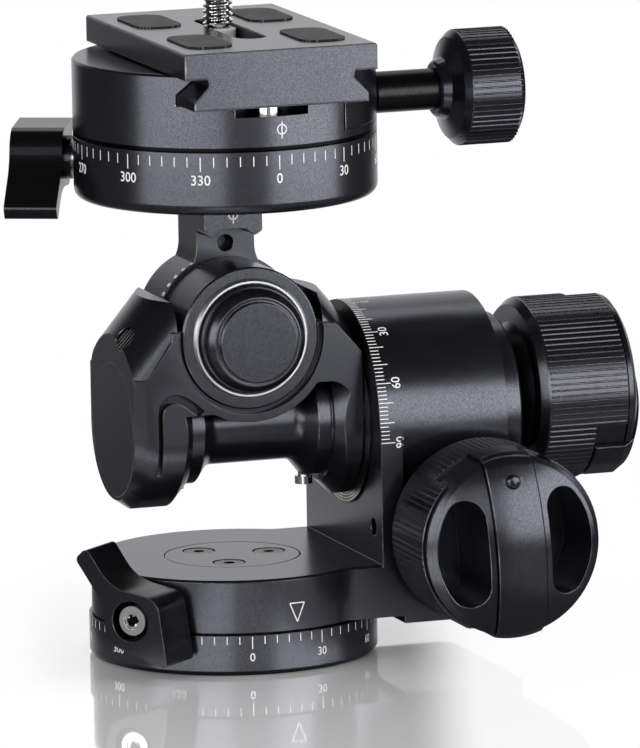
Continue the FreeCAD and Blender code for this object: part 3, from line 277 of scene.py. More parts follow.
# ---------------------------------------------------------------- finishes
def anodised_finish(name, colour, roughness, worn, metal=0.96, strap=None, shadow=None,
                    rounding=0.28):
    """Bead-blasted aluminium, dyed: a fine pitted skin, cloudy gloss, rubbed edges with a painted
    highlight, and painted shade in hollows.

    strap says where a geared knob's strap lies, with painted shade in the joint beside it,
    shadow how high the painted shade in a relief groove ends, worn how much the edges are
    lightened, as wear and as painted highlight, rounding the radius of the edges in millimetres.
    """
    finish = Finish(name)
    clouds = finish.noise(30.0)
    skin = finish.noise(4300.0, 2.0, 0.6)
    speckle = finish.noise(4200.0, 1.0).ramp(0.30, 0.70, 0.74, 1.26)
    rubs = finish.noise(420.0, 4.0, 0.7)
    rounded = finish.rounded(rounding * MM)
    edge = finish.edge(rounded)
    # Edges lightened towards pale grey, partly as wear and partly as a painted highlight of their
    # rounding.
    wear_and_highlight = (edge * (0.35 + rubs.ramp(0.36, 0.72)) * worn).clamped()
    tint = finish.colour_mix(clouds.ramp(0.3, 0.7), toned(colour, 0.93), toned(colour, 1.08))
    look = finish.colour_mix(wear_and_highlight, finish.tinted(tint, speckle), grey(0.40, 0.03))
    # Painted shade: hollows and joints are darkened nearly to black.
    look = finish.colour_mix(finish.hollow_shade(7.0 * MM), look, grey(0.004))
    # Painted shade in the narrow joint beside a geared knob's strap.
    if strap:
        look = finish.colour_mix(strap_gap_shade(finish, *strap), look, grey(0.004))
    # Painted shade in the relief groove at the clamp's foot.
    if shadow:
        _, _, high = finish.parts()
        groove = high.ramp(shadow - 0.2 * MM, shadow, 1.0, 0.0)
        look = finish.colour_mix(groove, look, grey(0.006))
    gloss = roughness + 0.03 * (clouds - 0.5) + 0.05 * (skin - 0.5) - 0.06 * edge
    finish.set(
        Base_Color=look,
        Metallic=metal,
        Roughness=gloss.clamped(),
        Normal=finish.bump(skin, 0.008 * MM, 0.5, rounded),
        Specular_Tint=grey(0.80),
    )
    return finish.material


def strap_gap_shade(finish, centre, turn_axis, spin):
    """Where painted shade goes: 1 in the narrow joint on either side of a geared knob's strap, 0
    elsewhere.
    """
    across, deep, high = finish.parts()
    x, y, z = (part * MM for part in centre)
    first, second = (across - x, high - z) if turn_axis == "Y" else (z - high, deep - y)
    spin = math.radians(spin)
    side = (first * math.cos(spin) + second * math.sin(spin)).absolute()
    return side.ramp(5.25 * MM, 5.32 * MM) * side.ramp(5.55 * MM, 5.75 * MM, 1.0, 0.0)


def bright_finish(name, colour, roughness):
    """Polished or plated metal with faint turning marks and handling haze."""
    finish = Finish(name)
    haze = finish.noise(120.0, 4.0, 0.65)
    marks = finish.noise(3800.0)
    finish.set(
        Base_Color=finish.colour_mix(haze.ramp(0.35, 0.8), colour, toned(colour, 0.86)),
        Metallic=1.0,
        Roughness=(roughness + 0.10 * haze.ramp(0.45, 0.9)).clamped(),
        Normal=finish.bump(marks, 0.004 * MM, 0.4),
    )
    return finish.material


def race_finish(name):
    """The bearing ring: steel turned in fine rings about the roll axis, painted near-black as
    shade, with the rings painted bright as highlights.
    """
    finish = Finish(name)
    _, deep, high = finish.parts()
    rise = high - ROLL_HEIGHT * MM
    reach = (deep * deep + rise * rise) ** 0.5
    rings = (reach * (2 * math.pi / (0.62 * MM))).sine().ramp(0.2, 0.9)
    haze = finish.noise(160.0, 3.0, 0.6)
    # Painted highlights on the turned rings, over steel painted near-black as shade.
    ring_highlight = rings * haze.ramp(0.2, 0.6)
    finish.set(
        Base_Color=finish.colour_mix(ring_highlight, grey(0.035), (0.66, 0.64, 0.56, 1.0)),
        Metallic=1.0,
        Roughness=(0.20 + 0.12 * haze).clamped(),
        Normal=finish.bump(rings, 0.03 * MM, 0.6),
    )
    return finish.material


def rubber_finish(name):
    """Black rubber with rows of small round studs, one to a millimetre, their tops painted lighter
    as highlights.
    """
    finish = Finish(name)
    across, deep, _ = finish.parts()
    wave = 2 * math.pi / (1.0 * MM)
    studs = ((across * wave).sine() * (deep * wave).sine()).ramp(0.30, 0.75)
    skin = finish.noise(2600.0, 3.0, 0.6)
    dust = finish.noise(260.0, 5.0, 0.7)
    worn = finish.colour_mix(dust.ramp(0.45, 0.85), grey(0.008), grey(0.020))
    finish.set(
        # Painted highlights: the studs are lighter than the rubber between them.
        Base_Color=finish.colour_mix(studs, worn, grey(0.16)),
        Roughness=(0.62 + 0.16 * dust.ramp(0.4, 0.8)).clamped(),
        Normal=finish.bump(studs + 0.12 * skin, 0.12 * MM, 0.7),
    )
    return finish.material


def plastic_finish(name, colour):
    """Moulded plastic with a faint grain."""
    finish = Finish(name)
    skin = finish.noise(1500.0, 3.0, 0.55)
    tone = finish.noise(90.0)
    finish.set(
        Base_Color=finish.colour_mix(tone.ramp(0.3, 0.7), colour, toned(colour, 0.88)),
        Roughness=(0.46 + 0.12 * (skin - 0.5)).clamped(),
        Normal=finish.bump(skin, 0.01 * MM, 0.5),
    )
    return finish.material


def print_finish(name, strength=1.0):
    """White ink laid into an engraved mark, a little thin in places."""
    finish = Finish(name)
    ink = finish.noise(2400.0, 3.0, 0.6)
    thin, full = grey(0.50 * strength), grey(0.74 * strength)
    finish.set(
        Base_Color=finish.colour_mix(ink.ramp(0.25, 0.62), thin, full),
        Roughness=(0.52 + 0.2 * (ink - 0.5)).clamped(),
        Normal=finish.bump(ink, 0.01 * MM, 0.5),
    )
    return finish.material


def make_finishes(dyes):
    """Builds every finish from the panel's colours."""
    body, knob, lever = ((*dye, 1.0) for dye in (dyes.body, dyes.knob, dyes.lever))
    roll_strap = (ROLL_KNOB_CENTRE, "Y", ROLL_KNOB_SPIN)
    pitch_strap = (PITCH_KNOB_CENTRE, "X", PITCH_KNOB_SPIN)
    # The painted shade of the groove at the clamp's foot ends 1.1 mm above the top scale ring.
    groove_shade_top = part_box("top_scale_ring")[1].z + 1.1 * MM
    FINISHES.update({
        "body": anodised_finish("body_anodised", body, 0.25, 0.8),
        "knob": anodised_finish("knob_anodised", knob, 0.22, 0.8),
        # The knob faces carry painted shade in the joints beside their straps.
        "roll_face": anodised_finish("roll_face_anodised", knob, 0.22, 0.8, strap=roll_strap),
        "pitch_face": anodised_finish("pitch_face_anodised", knob, 0.22, 0.8, strap=pitch_strap),
        "clamp": anodised_finish("clamp_anodised", body, 0.25, 0.8, shadow=groove_shade_top),
        "plate": anodised_finish("plate_anodised", body, 0.23, 0.9, rounding=0.7),
        # Painted shade for recesses that are not modelled, such as the screws' star drives.
        "dark": anodised_finish("painted_recess_shade", grey(0.003), 0.62, 0.1, metal=0.9),
        "strap": anodised_finish("strap_anodised", knob, 0.24, 0.6, rounding=0.4),
        "inlay": bright_finish("inlay_ring", grey(0.85, 0.01), 0.32),
        "lever": anodised_finish("lever_satin", lever, 0.20, 0.6),
        "chrome": bright_finish("chrome_plate", grey(0.78, 0.02), 0.10),
        "steel": bright_finish("ground_steel", grey(0.56, 0.01), 0.26),
        "black_steel": anodised_finish("black_oxide_steel", grey(0.030, 0.05), 0.28, 0.8),
        "brass": bright_finish("machined_brass", (0.66, 0.49, 0.24, 1.0), 0.24),
        "rubber": rubber_finish("pad_rubber"),
        "race": race_finish("bearing_race"),
        "glide": plastic_finish("glide_plastic", (0.72, 0.71, 0.66, 1.0)),
        "print": print_finish("scale_ink"),
        "faint_print": print_finish("thin_scale_ink", 0.16),
    })


SLOT_FINISH = {
    "body_black": "body",
    "knob_black": "knob",
    "lever_black": "lever",
    "chrome": "chrome",
    "steel": "steel",
    "black_steel": "black_steel",
    "brass": "brass",
    "rubber": "rubber",
    "glide": "glide",
}
OWN_FINISH = {
    "bearing_ring": "race",
    "clamp_body": "clamp",
    "release_plate": "plate",
    "roll_knob_strap": "strap",
    "pitch_knob_strap": "strap",
    "front_ring": "inlay",
    "roll_knob_face": "roll_face",
    "pitch_knob_face": "pitch_face",
}


# ---------------------------------------------------------------- making pieces
def linked(name, data):
    """A new object of this data in the scene."""
    made = bpy.data.objects.new(name, data)
    bpy.context.scene.collection.objects.link(made)
    return made


def plain_mesh(holder):
    """The mesh that an object shows, as a mesh of its own."""
    bpy.context.view_layer.update()
    graph = bpy.context.evaluated_depsgraph_get()
    return bpy.data.meshes.new_from_object(holder.evaluated_get(graph))


def finished(name, mesh, body, finish, replaces=None):
    """A finished piece: its mesh, material and body, and the part it stands for."""
    mesh.materials.clear()
    mesh.materials.append(FINISHES[finish])
    piece = linked(name, mesh)
    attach(piece, body)
    if replaces:
        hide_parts(replaces)


def placing(origin, along, start=0.0):
    """Turns +Z to the direction along and moves to origin; start turns about it first."""
    turn = Vector((0, 0, 1)).rotation_difference(Vector(along)).to_matrix().to_4x4()
    return Matrix.Translation(Vector(origin)) @ turn @ Matrix.Rotation(start, 4, "Z")


class Tree:
    """A Geometry Nodes tree under construction."""

    def __init__(self, name, inputs):
        self.tree = bpy.data.node_groups.new(name, "GeometryNodeTree")
        self.socket("Geometry", "Geometry")
        self.socket("Geometry", "Geometry", "OUTPUT")
        for label, kind in inputs.items():
            self.socket(label, kind)
        self.inside = self.tree.nodes.new("NodeGroupInput")

    def socket(self, label, kind, side="INPUT"):
        self.tree.interface.new_socket(label, in_out=side, socket_type="NodeSocket" + kind)

    def size(self, label):
        return self.inside.outputs[label]

    def node(self, kind, inputs=None, settings=None):
        """The first output of a new node, with its inputs fed and its settings made."""
        node = self.tree.nodes.new(kind)
        for name, value in (settings or {}).items():
            setattr(node, name, value)
        for place, item in (inputs or {}).items():
            socket = node.inputs[place]
            if isinstance(item, bpy.types.NodeSocket):
                self.tree.links.new(item, socket)
            else:
                socket.default_value = item
        return node.outputs[0]

    def math(self, operation, first, second=0.0):
        return self.node("ShaderNodeMath", {0: first, 1: second}, {"operation": operation})

    def end(self, geometry, finish):
        """Makes the instances real, coats them and closes the tree."""
        real = self.node("GeometryNodeRealizeInstances", {"Geometry": geometry})
        coated = self.node(
            "GeometryNodeSetMaterial", {"Geometry": real, "Material": FINISHES[finish]}
        )
        out = self.tree.nodes.new("NodeGroupOutput")
        self.tree.links.new(coated, out.inputs[0])
        return self.tree


def grown(tree, values):
    """The plain mesh that a tree makes from these values of its inputs."""
    holder = linked(tree.name + "_holder", bpy.data.meshes.new("empty"))
    modifier = holder.modifiers.new("grow", "NODES")
    modifier.node_group = tree
    for item in tree.interface.items_tree:
        if item.item_type == "SOCKET" and item.in_out == "INPUT" and item.name in values:
            modifier[item.identifier] = values[item.name]
    mesh = plain_mesh(holder)
    holder.modifiers.remove(modifier)
    bpy.data.objects.remove(holder)
    if not len(mesh.vertices):
        raise RuntimeError(f"the tree {tree.name} made nothing")
    return mesh


def ring_tree(name, finish, ridged=False):
    """Bars spread at an even step round the Z axis: flat graduations, or ridges with an edge."""
    tree = Tree(name, {
        "Count": "Int", "Start": "Float", "Step": "Float", "Radius": "Float", "Height": "Float",
        "Width": "Float", "Length": "Float", "Depth": "Float",
    })
    line = tree.node("GeometryNodeMeshLine", {"Count": tree.size("Count")})
    index = tree.node("GeometryNodeInputIndex")
    angle = tree.math("ADD", tree.size("Start"), tree.math("MULTIPLY", index, tree.size("Step")))
    across = tree.math("MULTIPLY", tree.size("Radius"), tree.math("COSINE", angle))
    deep = tree.math("MULTIPLY", tree.size("Radius"), tree.math("SINE", angle))
    spot = tree.node("ShaderNodeCombineXYZ", {0: across, 1: deep, 2: tree.size("Height")})
    spread = tree.node("GeometryNodeSetPosition", {"Geometry": line, "Position": spot})
    turn = tree.node("ShaderNodeCombineXYZ", {2: angle})
    if ridged:
        bar = tree.node(
            "GeometryNodeMeshCylinder",
            {"Vertices": 4, "Side Segments": 1, "Radius": 0.5, "Depth": 1.0},
        )
    else:
        bar = tree.node("GeometryNodeMeshCube", {"Size": (1.0, 1.0, 1.0)})
    scale = tree.node("ShaderNodeCombineXYZ", {
        0: tree.size("Depth"), 1: tree.size("Width"), 2: tree.size("Length"),
    })
    placed = tree.node("GeometryNodeInstanceOnPoints", {
        "Points": spread, "Instance": bar, "Rotation": turn, "Scale": scale,
    })
    return tree.end(placed, finish)


def joined(meshes):
    """One mesh out of several."""
    whole = bmesh.new()
    for mesh in meshes:
        whole.from_mesh(mesh)
    return released(whole, "joined")


def released(made, name):
    """Turns a mesh under construction into a plain one."""
    mesh = bpy.data.meshes.new(name)
    made.to_mesh(mesh)
    made.free()
    return mesh


def skinned(rows, looped=False):
    """A closed mesh over rows of points, capped at both ends or looped back to the first row."""
    made = bmesh.new()
    rows = [[made.verts.new(point) for point in row] for row in rows]
    for row, following in zip(rows, rows[1:] + (rows[:1] if looped else [])):
        for k in range(len(row)):
            n = (k + 1) % len(row)
            made.faces.new((row[k], row[n], following[n], following[k]))
    if not looped:
        made.faces.new(list(reversed(rows[0])))
        made.faces.new(rows[-1])
    bmesh.ops.recalc_face_normals(made, faces=made.faces)
    return released(made, "skinned")


def round_row(reach, level, segments):
    """A row of points round Z, where reach gives the radius at an angle."""
    turns = [2 * math.pi * k / segments for k in range(segments)]
    return [(reach(turn) * math.cos(turn), reach(turn) * math.sin(turn), level) for turn in turns]


def flat_ring(radius, width, thickness, segments=40):
    """A thin flat ring in XY."""
    inner, outer, half = radius - width / 2, radius + width / 2, thickness / 2
    corners = ((inner, -half), (outer, -half), (outer, half), (inner, half))
    return skinned(
        [round_row(lambda turn: reach, level, segments) for reach, level in corners], True
    )


def lobed_disc(inner, outer, lobes, thickness, segments=72):
    """A flat disc below XY with a wavy rim, the shape of a star drive, or a round one."""
    def reach(turn):
        return (inner + outer) / 2 + (outer - inner) / 2 * math.cos(lobes * turn)

    return skinned([round_row(reach, level, segments) for level in (-thickness, 0.0)])


def band(first, second, low, high):
    """A flat band in XY between two edges, from one level to another."""
    return skinned([
        [(*a, low), (*b, low), (*b, high), (*a, high)] for a, b in zip(first, second)
    ])


def stroke(start, end, width, thickness, pieces=10):
    """A straight bar in XY from one point to another, in pieces so that it can be bent."""
    start, end = Vector(start), Vector(end)
    run = end - start
    side = Vector((-run.y, run.x)).normalized() * width / 2
    middles = [start + run * k / pieces for k in range(pieces + 1)]
    return band(
        [spot + side for spot in middles], [spot - side for spot in middles],
        -thickness / 2, thickness / 2,
    )


def smooth_path(points, pieces=8):
    """Points of a smooth curve through the given ones."""
    points = [Vector(point) for point in points]
    ends = [points[0] * 2 - points[1], *points, points[-1] * 2 - points[-2]]
    path = []
    for a, b, c, d in zip(ends, ends[1:], ends[2:], ends[3:]):
        for k in range(pieces):
            t = k / pieces
            path.append(0.5 * (
                2 * b + (c - a) * t + (2 * a - 5 * b + 4 * c - d) * t * t
                + (3 * b - a - 3 * c + d) * t ** 3
            ))
    return [*path, points[-1]]


def merged(node, angle):
    """A carried-over part's mesh with its doubled points joined and its normals made anew."""
    made = bmesh.new()
    made.from_mesh(NODES[node].data)
    bmesh.ops.remove_doubles(made, verts=made.verts, dist=0.001 * MM)
    bmesh.ops.dissolve_degenerate(made, edges=made.edges, dist=0.001 * MM)
    for face in made.faces:
        face.smooth = True
    mesh = released(made, node + "_merged")
    if "custom_normal" in mesh.attributes:
        mesh.attributes.remove(mesh.attributes["custom_normal"])
    mesh.set_sharp_from_angle(angle=math.radians(angle))
    return mesh


def carved(mesh, cutters):
    """A mesh with other closed meshes cut out of it."""
    whole = linked("whole", mesh)
    helpers = [linked(f"cutter_{index}", cutter) for index, cutter in enumerate(cutters)]
    for helper in helpers:
        cut = whole.modifiers.new(helper.name, "BOOLEAN")
        cut.operation = "DIFFERENCE"
        cut.solver = "EXACT"
        cut.object = helper
    result = plain_mesh(whole)
    for helper in (whole, *helpers):
        bpy.data.objects.remove(helper)
    if len(result.polygons) <= len(mesh.polygons):
        raise RuntimeError("the cut changed nothing")
    for polygon in result.polygons:
        polygon.use_smooth = True
    result.set_sharp_from_angle(angle=math.radians(30.0))
    return result


def struck(node, across, high):
    """Where a ray from the front, in millimetres, meets a part, and the way out of it there."""
    ahead = Vector((0, 1, 0))
    hit, place, normal, _ = NODES[node].ray_cast(Vector((across * MM, -60 * MM, high * MM)), ahead)
    if not hit:
        raise RuntimeError(f"nothing of {node} lies along the ray")
    return place, -normal if normal.dot(ahead) > 0 else normal


def lettering(words, height):
    """Plain numbers, as high as this in millimetres, centred in XY and facing +Z."""
    curve = bpy.data.curves.new("number", "FONT")
    curve.body = words
    curve.align_x = curve.align_y = "CENTER"
    curve.size = height * MM / 0.72
    curve.extrude = sizes().ink_height
    curve.offset = height * MM * 0.006
    curve.resolution_u = 3
    holder = linked("number_holder", curve)
    mesh = plain_mesh(holder)
    bpy.data.objects.remove(holder)
    levels = [vertex.co.y for vertex in mesh.vertices]
    mesh.transform(Matrix.Translation((0, -(min(levels) + max(levels)) / 2, 0)))
    mesh.transform(Matrix.Diagonal((0.96, 1.0, 1.0, 1.0)))
    return mesh


def wrapped(mesh, radius, angle, height):
    """Bends a flat print onto a drum about Z, at degrees from +X and a height in millimetres."""
    for vertex in mesh.vertices:
        x, y, z = vertex.co
        turn = math.radians(angle) + x / (radius * MM)
        reach = radius * MM + z
        vertex.co = (reach * math.cos(turn), reach * math.sin(turn), height * MM + y)
    mesh.update()
    return mesh


# ---------------------------------------------------------------- sizes and colours
class HeadColours(bpy.types.PropertyGroup):
    body: FloatVectorProperty(
        name="Body", description="Dye of the castings and rings", subtype="COLOR",
        size=3, min=0.0, max=1.0, default=(0.090, 0.091, 0.108),
    )
    knob: FloatVectorProperty(
        name="Knobs", description="Dye of the geared knobs and the clamp knob", subtype="COLOR",
        size=3, min=0.0, max=1.0, default=(0.080, 0.081, 0.096),
    )
    lever: FloatVectorProperty(
        name="Levers", description="Coat of the lock levers", subtype="COLOR",
        size=3, min=0.0, max=1.0, default=(0.050, 0.050, 0.056),
    )
    backdrop: FloatVectorProperty(
        name="Backdrop", description="Colour of the floor and the background", subtype="COLOR",
        size=3, min=0.0, max=1.0, default=(1.0, 1.0, 1.0),
    )


class HeadSizes(bpy.types.PropertyGroup):
    mark_width: FloatProperty(
        name="Mark width", description="Width of a graduation line",
        default=0.22 * MM, unit="LENGTH",
    )
    ink_height: FloatProperty(
        name="Ink height", description="How far the printing stands off its surface",
        default=0.02 * MM, unit="LENGTH",
    )
    knob_ridges: IntProperty(
        name="Knob ridges", description="Ridges round each geared knob", default=96, min=12
    )
    clamp_ridges: IntProperty(
        name="Clamp ridges", description="Ridges round the clamp knob", default=60, min=12
    )
    thread_pitch: FloatProperty(
        name="Thread pitch", description="Pitch of the camera screw, twenty to the inch",
        default=1.27 * MM, unit="LENGTH",
    )


def colours():
    return bpy.context.scene.head_colours


def sizes():
    return bpy.context.scene.head_sizes


# ---------------------------------------------------------------- carried-over pieces
class HEAD_OT_castings(bpy.types.Operator):
    """Gives every carried-over part the finish of its material slot"""

    bl_idname = "head.castings"
    bl_label = "Castings and turned parts"

    def execute(self, context):
        make_finishes(colours())
        slots = {row["node"]: row["material_slot"] for row in frame["record"]["subparts"]}
        for name, node in NODES.items():
            if name not in slots or slots[name] not in SLOT_FINISH:
                raise RuntimeError(f"no finish for {name}")
            finish = OWN_FINISH.get(name, SLOT_FINISH[slots[name]])
            node.data.materials.clear()
            node.data.materials.append(FINISHES[finish])
        for knob in ("roll", "pitch"):
            strap = f"{knob}_knob_strap"
            finished(strap + "_smooth", merged(strap, 32.0), f"{knob}_release", "strap",
                     strap)
        return {"FINISHED"}


# ---------------------------------------------------------------- printed scales
def lines(tree, count, start, step, radius, middle, width, length):
    """Printed lines round Z at an even step, in degrees and millimetres."""
    return grown(tree, {
        "Count": count, "Start": math.radians(start), "Step": math.radians(step),
        "Radius": radius * MM, "Height": middle * MM, "Width": width * MM, "Length": length * MM,
        "Depth": 2 * sizes().ink_height,
    })


def ring_scale(name, body, radius, zero, top, long_line, short_line, digit_height, digit_centre):
    """A degree ring: a line every 5 degrees, a long one with its number every 30."""
    mark = sizes().mark_width / MM
    tree = ring_tree(name + "_lines", "print")
    meshes = [
        lines(tree, 12, FRONT + zero, 30.0, radius, top - long_line / 2, mark, long_line)
    ]
    for place in range(1, 6):
        meshes.append(lines(
            tree, 12, FRONT + zero + 5.0 * place, 30.0, radius, top - short_line / 2,
            0.9 * mark, short_line,
        ))
    for label in range(0, 360, 30):
        number = lettering(str(label), digit_height)
        meshes.append(wrapped(number, radius, FRONT + zero + label, digit_centre))
    finished(name, joined(meshes), body, "print")


class HEAD_OT_ring_scales(bpy.types.Operator):
    """Prints the degree scales of the lower and the upper panning ring"""

    bl_idname = "head.ring_scales"
    bl_label = "Panning scales"

    def execute(self, context):
        ring_scale(
            "base_scale", "base", BASE_RING_RADIUS, zero=-11.05, top=8.37, long_line=2.65,
            short_line=1.65, digit_height=1.8, digit_centre=4.0,
        )
        ring_scale(
            "top_scale", "platform", TOP_RING_RADIUS, zero=2.15, top=110.0, long_line=3.0,
            short_line=2.07, digit_height=2.15, digit_centre=105.2,
        )
        return {"FINISHED"}


class HEAD_OT_barrel_scale(bpy.types.Operator):
    """Prints the roll scale round the barrel's inner end"""

    bl_idname = "head.barrel_scale"
    bl_label = "Roll scale"

    def execute(self, context):
        tree = ring_tree("barrel_lines", "print")
        rows = [(-90.0, 19, 3.1), *((-88.0 + 2.0 * k, 18, 1.85) for k in range(4))]
        meshes = [
            lines(
                tree, count, first, 10.0, BARREL_RADIUS, BARREL_LINES_START + length / 2,
                width=0.19, length=length,
            )
            for first, count, length in rows
        ]
        for label in range(-90, 91, 30):
            number = lettering(str(abs(label)), height=1.95)
            number.transform(Matrix.Rotation(math.pi, 4, "Z"))
            meshes.append(wrapped(number, BARREL_RADIUS, label, height=29.5))
        drum = joined(meshes)
        lay_on_barrel(drum)
        finished("barrel_scale", drum, "head", "print")
        return {"FINISHED"}


def lay_on_barrel(mesh):
    """From a drum about Z, labelled by angle from +X, to the barrel: label 0 near its top.

    Below the axis the marks by the riser lie on its flat.
    """
    zero = math.radians(BARREL_ZERO)
    for vertex in mesh.vertices:
        x, y, z = vertex.co
        reach = math.hypot(x, y)
        turn = zero - math.atan2(y, x)
        front = reach * math.cos(turn)
        if turn < 0.0 and z < BARREL_FLAT_END * MM:
            front = (BARREL_FLAT - BARREL_RADIUS) * MM + reach
        vertex.co = (z, -front, ROLL_HEIGHT * MM + reach * math.sin(turn))
    mesh.update()


# ---------------------------------------------------------------- index marks
INDEX_WIDTH = 0.26 * MM
NECK_MARK_HEIGHT = 93.6


def ringed_line(radius, above, below):
    """A small ring crossed by an upright line, in millimetres."""
    ink = 2 * sizes().ink_height
    return joined([
        flat_ring(radius * MM, INDEX_WIDTH, ink),
        stroke((0, above * MM), (0, -below * MM), INDEX_WIDTH, ink),
    ])


class HEAD_OT_index_marks(bpy.types.Operator):
    """Prints the index marks: the triangle on the bracket and the ringed lines above it"""

    bl_idname = "head.index_marks"
    bl_label = "Index marks"

    def execute(self, context):
        corners = [(-1.7 * MM, 2.0 * MM), (1.7 * MM, 2.0 * MM), (0.0, -2.0 * MM)]
        triangle = joined([
            stroke(corners[k], corners[(k + 1) % 3], INDEX_WIDTH, 2 * sizes().ink_height)
            for k in range(3)
        ])
        wrapped(triangle, BRACKET_RADIUS, FRONT + 8.2, height=12.75)
        finished("base_index", triangle, "head", "print")

        clamp = ringed_line(1.0, above=1.6, below=1.9)
        wrapped(clamp, TOP_RING_RADIUS, FRONT + 3.3, height=115.4)
        finished("clamp_index", clamp, "clamp", "print")

        neck = ringed_line(0.95, above=1.5, below=1.8)
        neck.transform(placing((0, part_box("cradle")[0].y, NECK_MARK_HEIGHT * MM), (0, -1, 0)))
        finished("cradle_index", neck, "platform", "print")
        return {"FINISHED"}


# ---------------------------------------------------------------- small details
GROOVE_DEPTH = 1.8
TONGUE_SPOT, HOLE_SPOT = (-18.0, 56.0), (-25.0, 69.4)
HOLE_RADIUS, HOLE_DEPTH = 2.7, 1.6
RIB_PITCH, RIB_WIDTH = 0.95, 0.4
PITCH_MARKS = (
    # piece, body, finish, the part they lie on, how many, first and step in degrees, then
    # their middle, width and length in millimetres
    ("drum_scale", "fork", "faint_print", "front_drum", 10, -115.0, 5.0, -1.0, 0.15, 1.1),
    ("lobe_scale", "platform", "print", "cradle", 13, -150.0, 8.1, 1.75, 0.85, 1.4),
)
LEVER_HEADS = (
    # piece, body, degrees to the left of the front, millimetres out and up
    ("base_lock", "base_lever", 48.5, 42.05, 13.4),
    ("top_lock", "top_lever", 116.0, 44.15, 105.2),
)


class HEAD_OT_small_details(bpy.types.Operator):
    """Adds the yoke's groove and ribbed hole, the pitch marks and the lever screws' drives, whose
    star recesses are painted shade
    """

    bl_idname = "head.small_details"
    bl_label = "Small details"

    def execute(self, context):
        self.yoke_cuts()
        self.pitch_marks()
        self.lever_drives()
        return {"FINISHED"}

    def yoke_cuts(self):
        """Cuts the groove round the hooked tongue and the arm's hole into a copy of the yoke."""
        outer, inner = (
            smooth_path([(x * MM, z * MM) for x, z in edge]) for edge in (HOOK_OUTER, HOOK_INNER)
        )
        front = struck("yoke", *TONGUE_SPOT)[0].y - GROOVE_DEPTH * MM
        groove = band(outer, inner, -2 * GROOVE_DEPTH * MM, 0.0)
        groove.transform(placing((0, front, 0), (0, -1, 0)))
        place, normal = struck("yoke", *HOLE_SPOT)
        hole = lobed_disc(HOLE_RADIUS * MM, HOLE_RADIUS * MM, 0, (HOLE_DEPTH + 1.0) * MM, 48)
        hole.transform(placing(place + normal * MM, normal))
        finished("yoke_carved", carved(merged("yoke", 30.0), [groove, hole]), "fork", "body",
                 "yoke")
        ribs = []
        for k in range(-2, 3):
            level = RIB_PITCH * k * MM
            half = math.sqrt(((HOLE_RADIUS - 0.1) * MM) ** 2 - level ** 2)
            ribs.append(stroke((-half, level), (half, level), RIB_WIDTH * MM, RIB_WIDTH * MM))
        rows = joined(ribs)
        rows.transform(placing(place - normal * 0.7 * MM, normal))
        finished("yoke_hole_ribs", rows, "fork", "black_steel")

    def pitch_marks(self):
        """Prints the fine lines on the front drum and the bold ones on the hub behind it."""
        tree = ring_tree("pitch_lines", "print")
        for name, body, finish, node, count, start, step, middle, width, length in PITCH_MARKS:
            low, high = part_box(node)
            reach = (high.x - low.x) / 2 / MM
            marks = lines(tree, count, start, step, reach, middle, width, length)
            marks.transform(placing((0, 0, PITCH_HEIGHT * MM), (0, 1, 0)))
            finished(name, marks, body, finish)

    def lever_drives(self):
        """Lays a bright rim and a dark star, painted shade for the screw's star recess, on the
        head of each lever's screw.
        """
        for name, body, angle, reach, height in LEVER_HEADS:
            turn = math.radians(angle)
            out = Vector((-math.sin(turn), -math.cos(turn), 0.0))
            head = out * (reach * MM) + Vector((0, 0, height * MM))
            ring = flat_ring(2.55 * MM, 1.1 * MM, 0.12 * MM, 48)
            ring.transform(placing(head, out))
            finished(name + "_head_ring", ring, body, "chrome")
            # The star recess is only painted shade: a flat near-black star laid on the head.
            star = lobed_disc(0.85 * MM, 1.30 * MM, 6, 0.05 * MM)
            star.transform(placing(head + out * 0.02 * MM, out))
            finished(name + "_star_drive_shade", star, body, "dark")


# ---------------------------------------------------------------- knurls
KNURL_DEPTH, CLAMP_KNURL_DEPTH = 0.5, 0.55
CLAMP_KNURL_START, CLAMP_KNURL_END = 51.6, 62.6
# A geared knob's ridges from its back and front faces, and where its strap's ends travel.
KNURL_FOOT, KNURL_TOP, SHORT_KNURL_TOP = 2.0, 1.9, 8.7
STRAP_FROM, STRAP_TO = 58.0, 132.0
def ridges(tree, radius, depth, count, first, number, start, end):
    """A run of straight ridges round Z, of count to the full turn."""
    step = 2 * math.pi / count
    return grown(tree, {
        "Count": number, "Start": first * step, "Step": step, "Radius": radius - depth * 0.55,
        "Height": (start + end) / 2, "Width": step * radius * 0.96, "Length": end - start,
        "Depth": depth * 1.7,
    })


def geared_knurl(name, body, centre, along, spin, length):
    """Ridges of a geared knob, short where the strap's ends travel."""
    tree = ring_tree(name + "_ridges", "knob", True)
    count = sizes().knob_ridges
    radius, depth, back = KNOB_RADIUS * MM, KNURL_DEPTH * MM, KNURL_FOOT * MM
    front, window = (length - KNURL_TOP) * MM, (length - SHORT_KNURL_TOP) * MM
    low, high = math.ceil(count * STRAP_FROM / 360.0), math.floor(count * STRAP_TO / 360.0)
    short = high - low + 1
    runs = []
    for turn in (0, count // 2):
        runs.append(ridges(tree, radius, depth, count, turn + low, short, back, window))
        runs.append(ridges(
            tree, radius, depth, count, turn + high + 1, count // 2 - short, back, front
        ))
    mesh = joined(runs)
    mesh.transform(placing(Vector(centre) * MM, along, math.radians(spin)))
    finished(name, mesh, body, "knob")


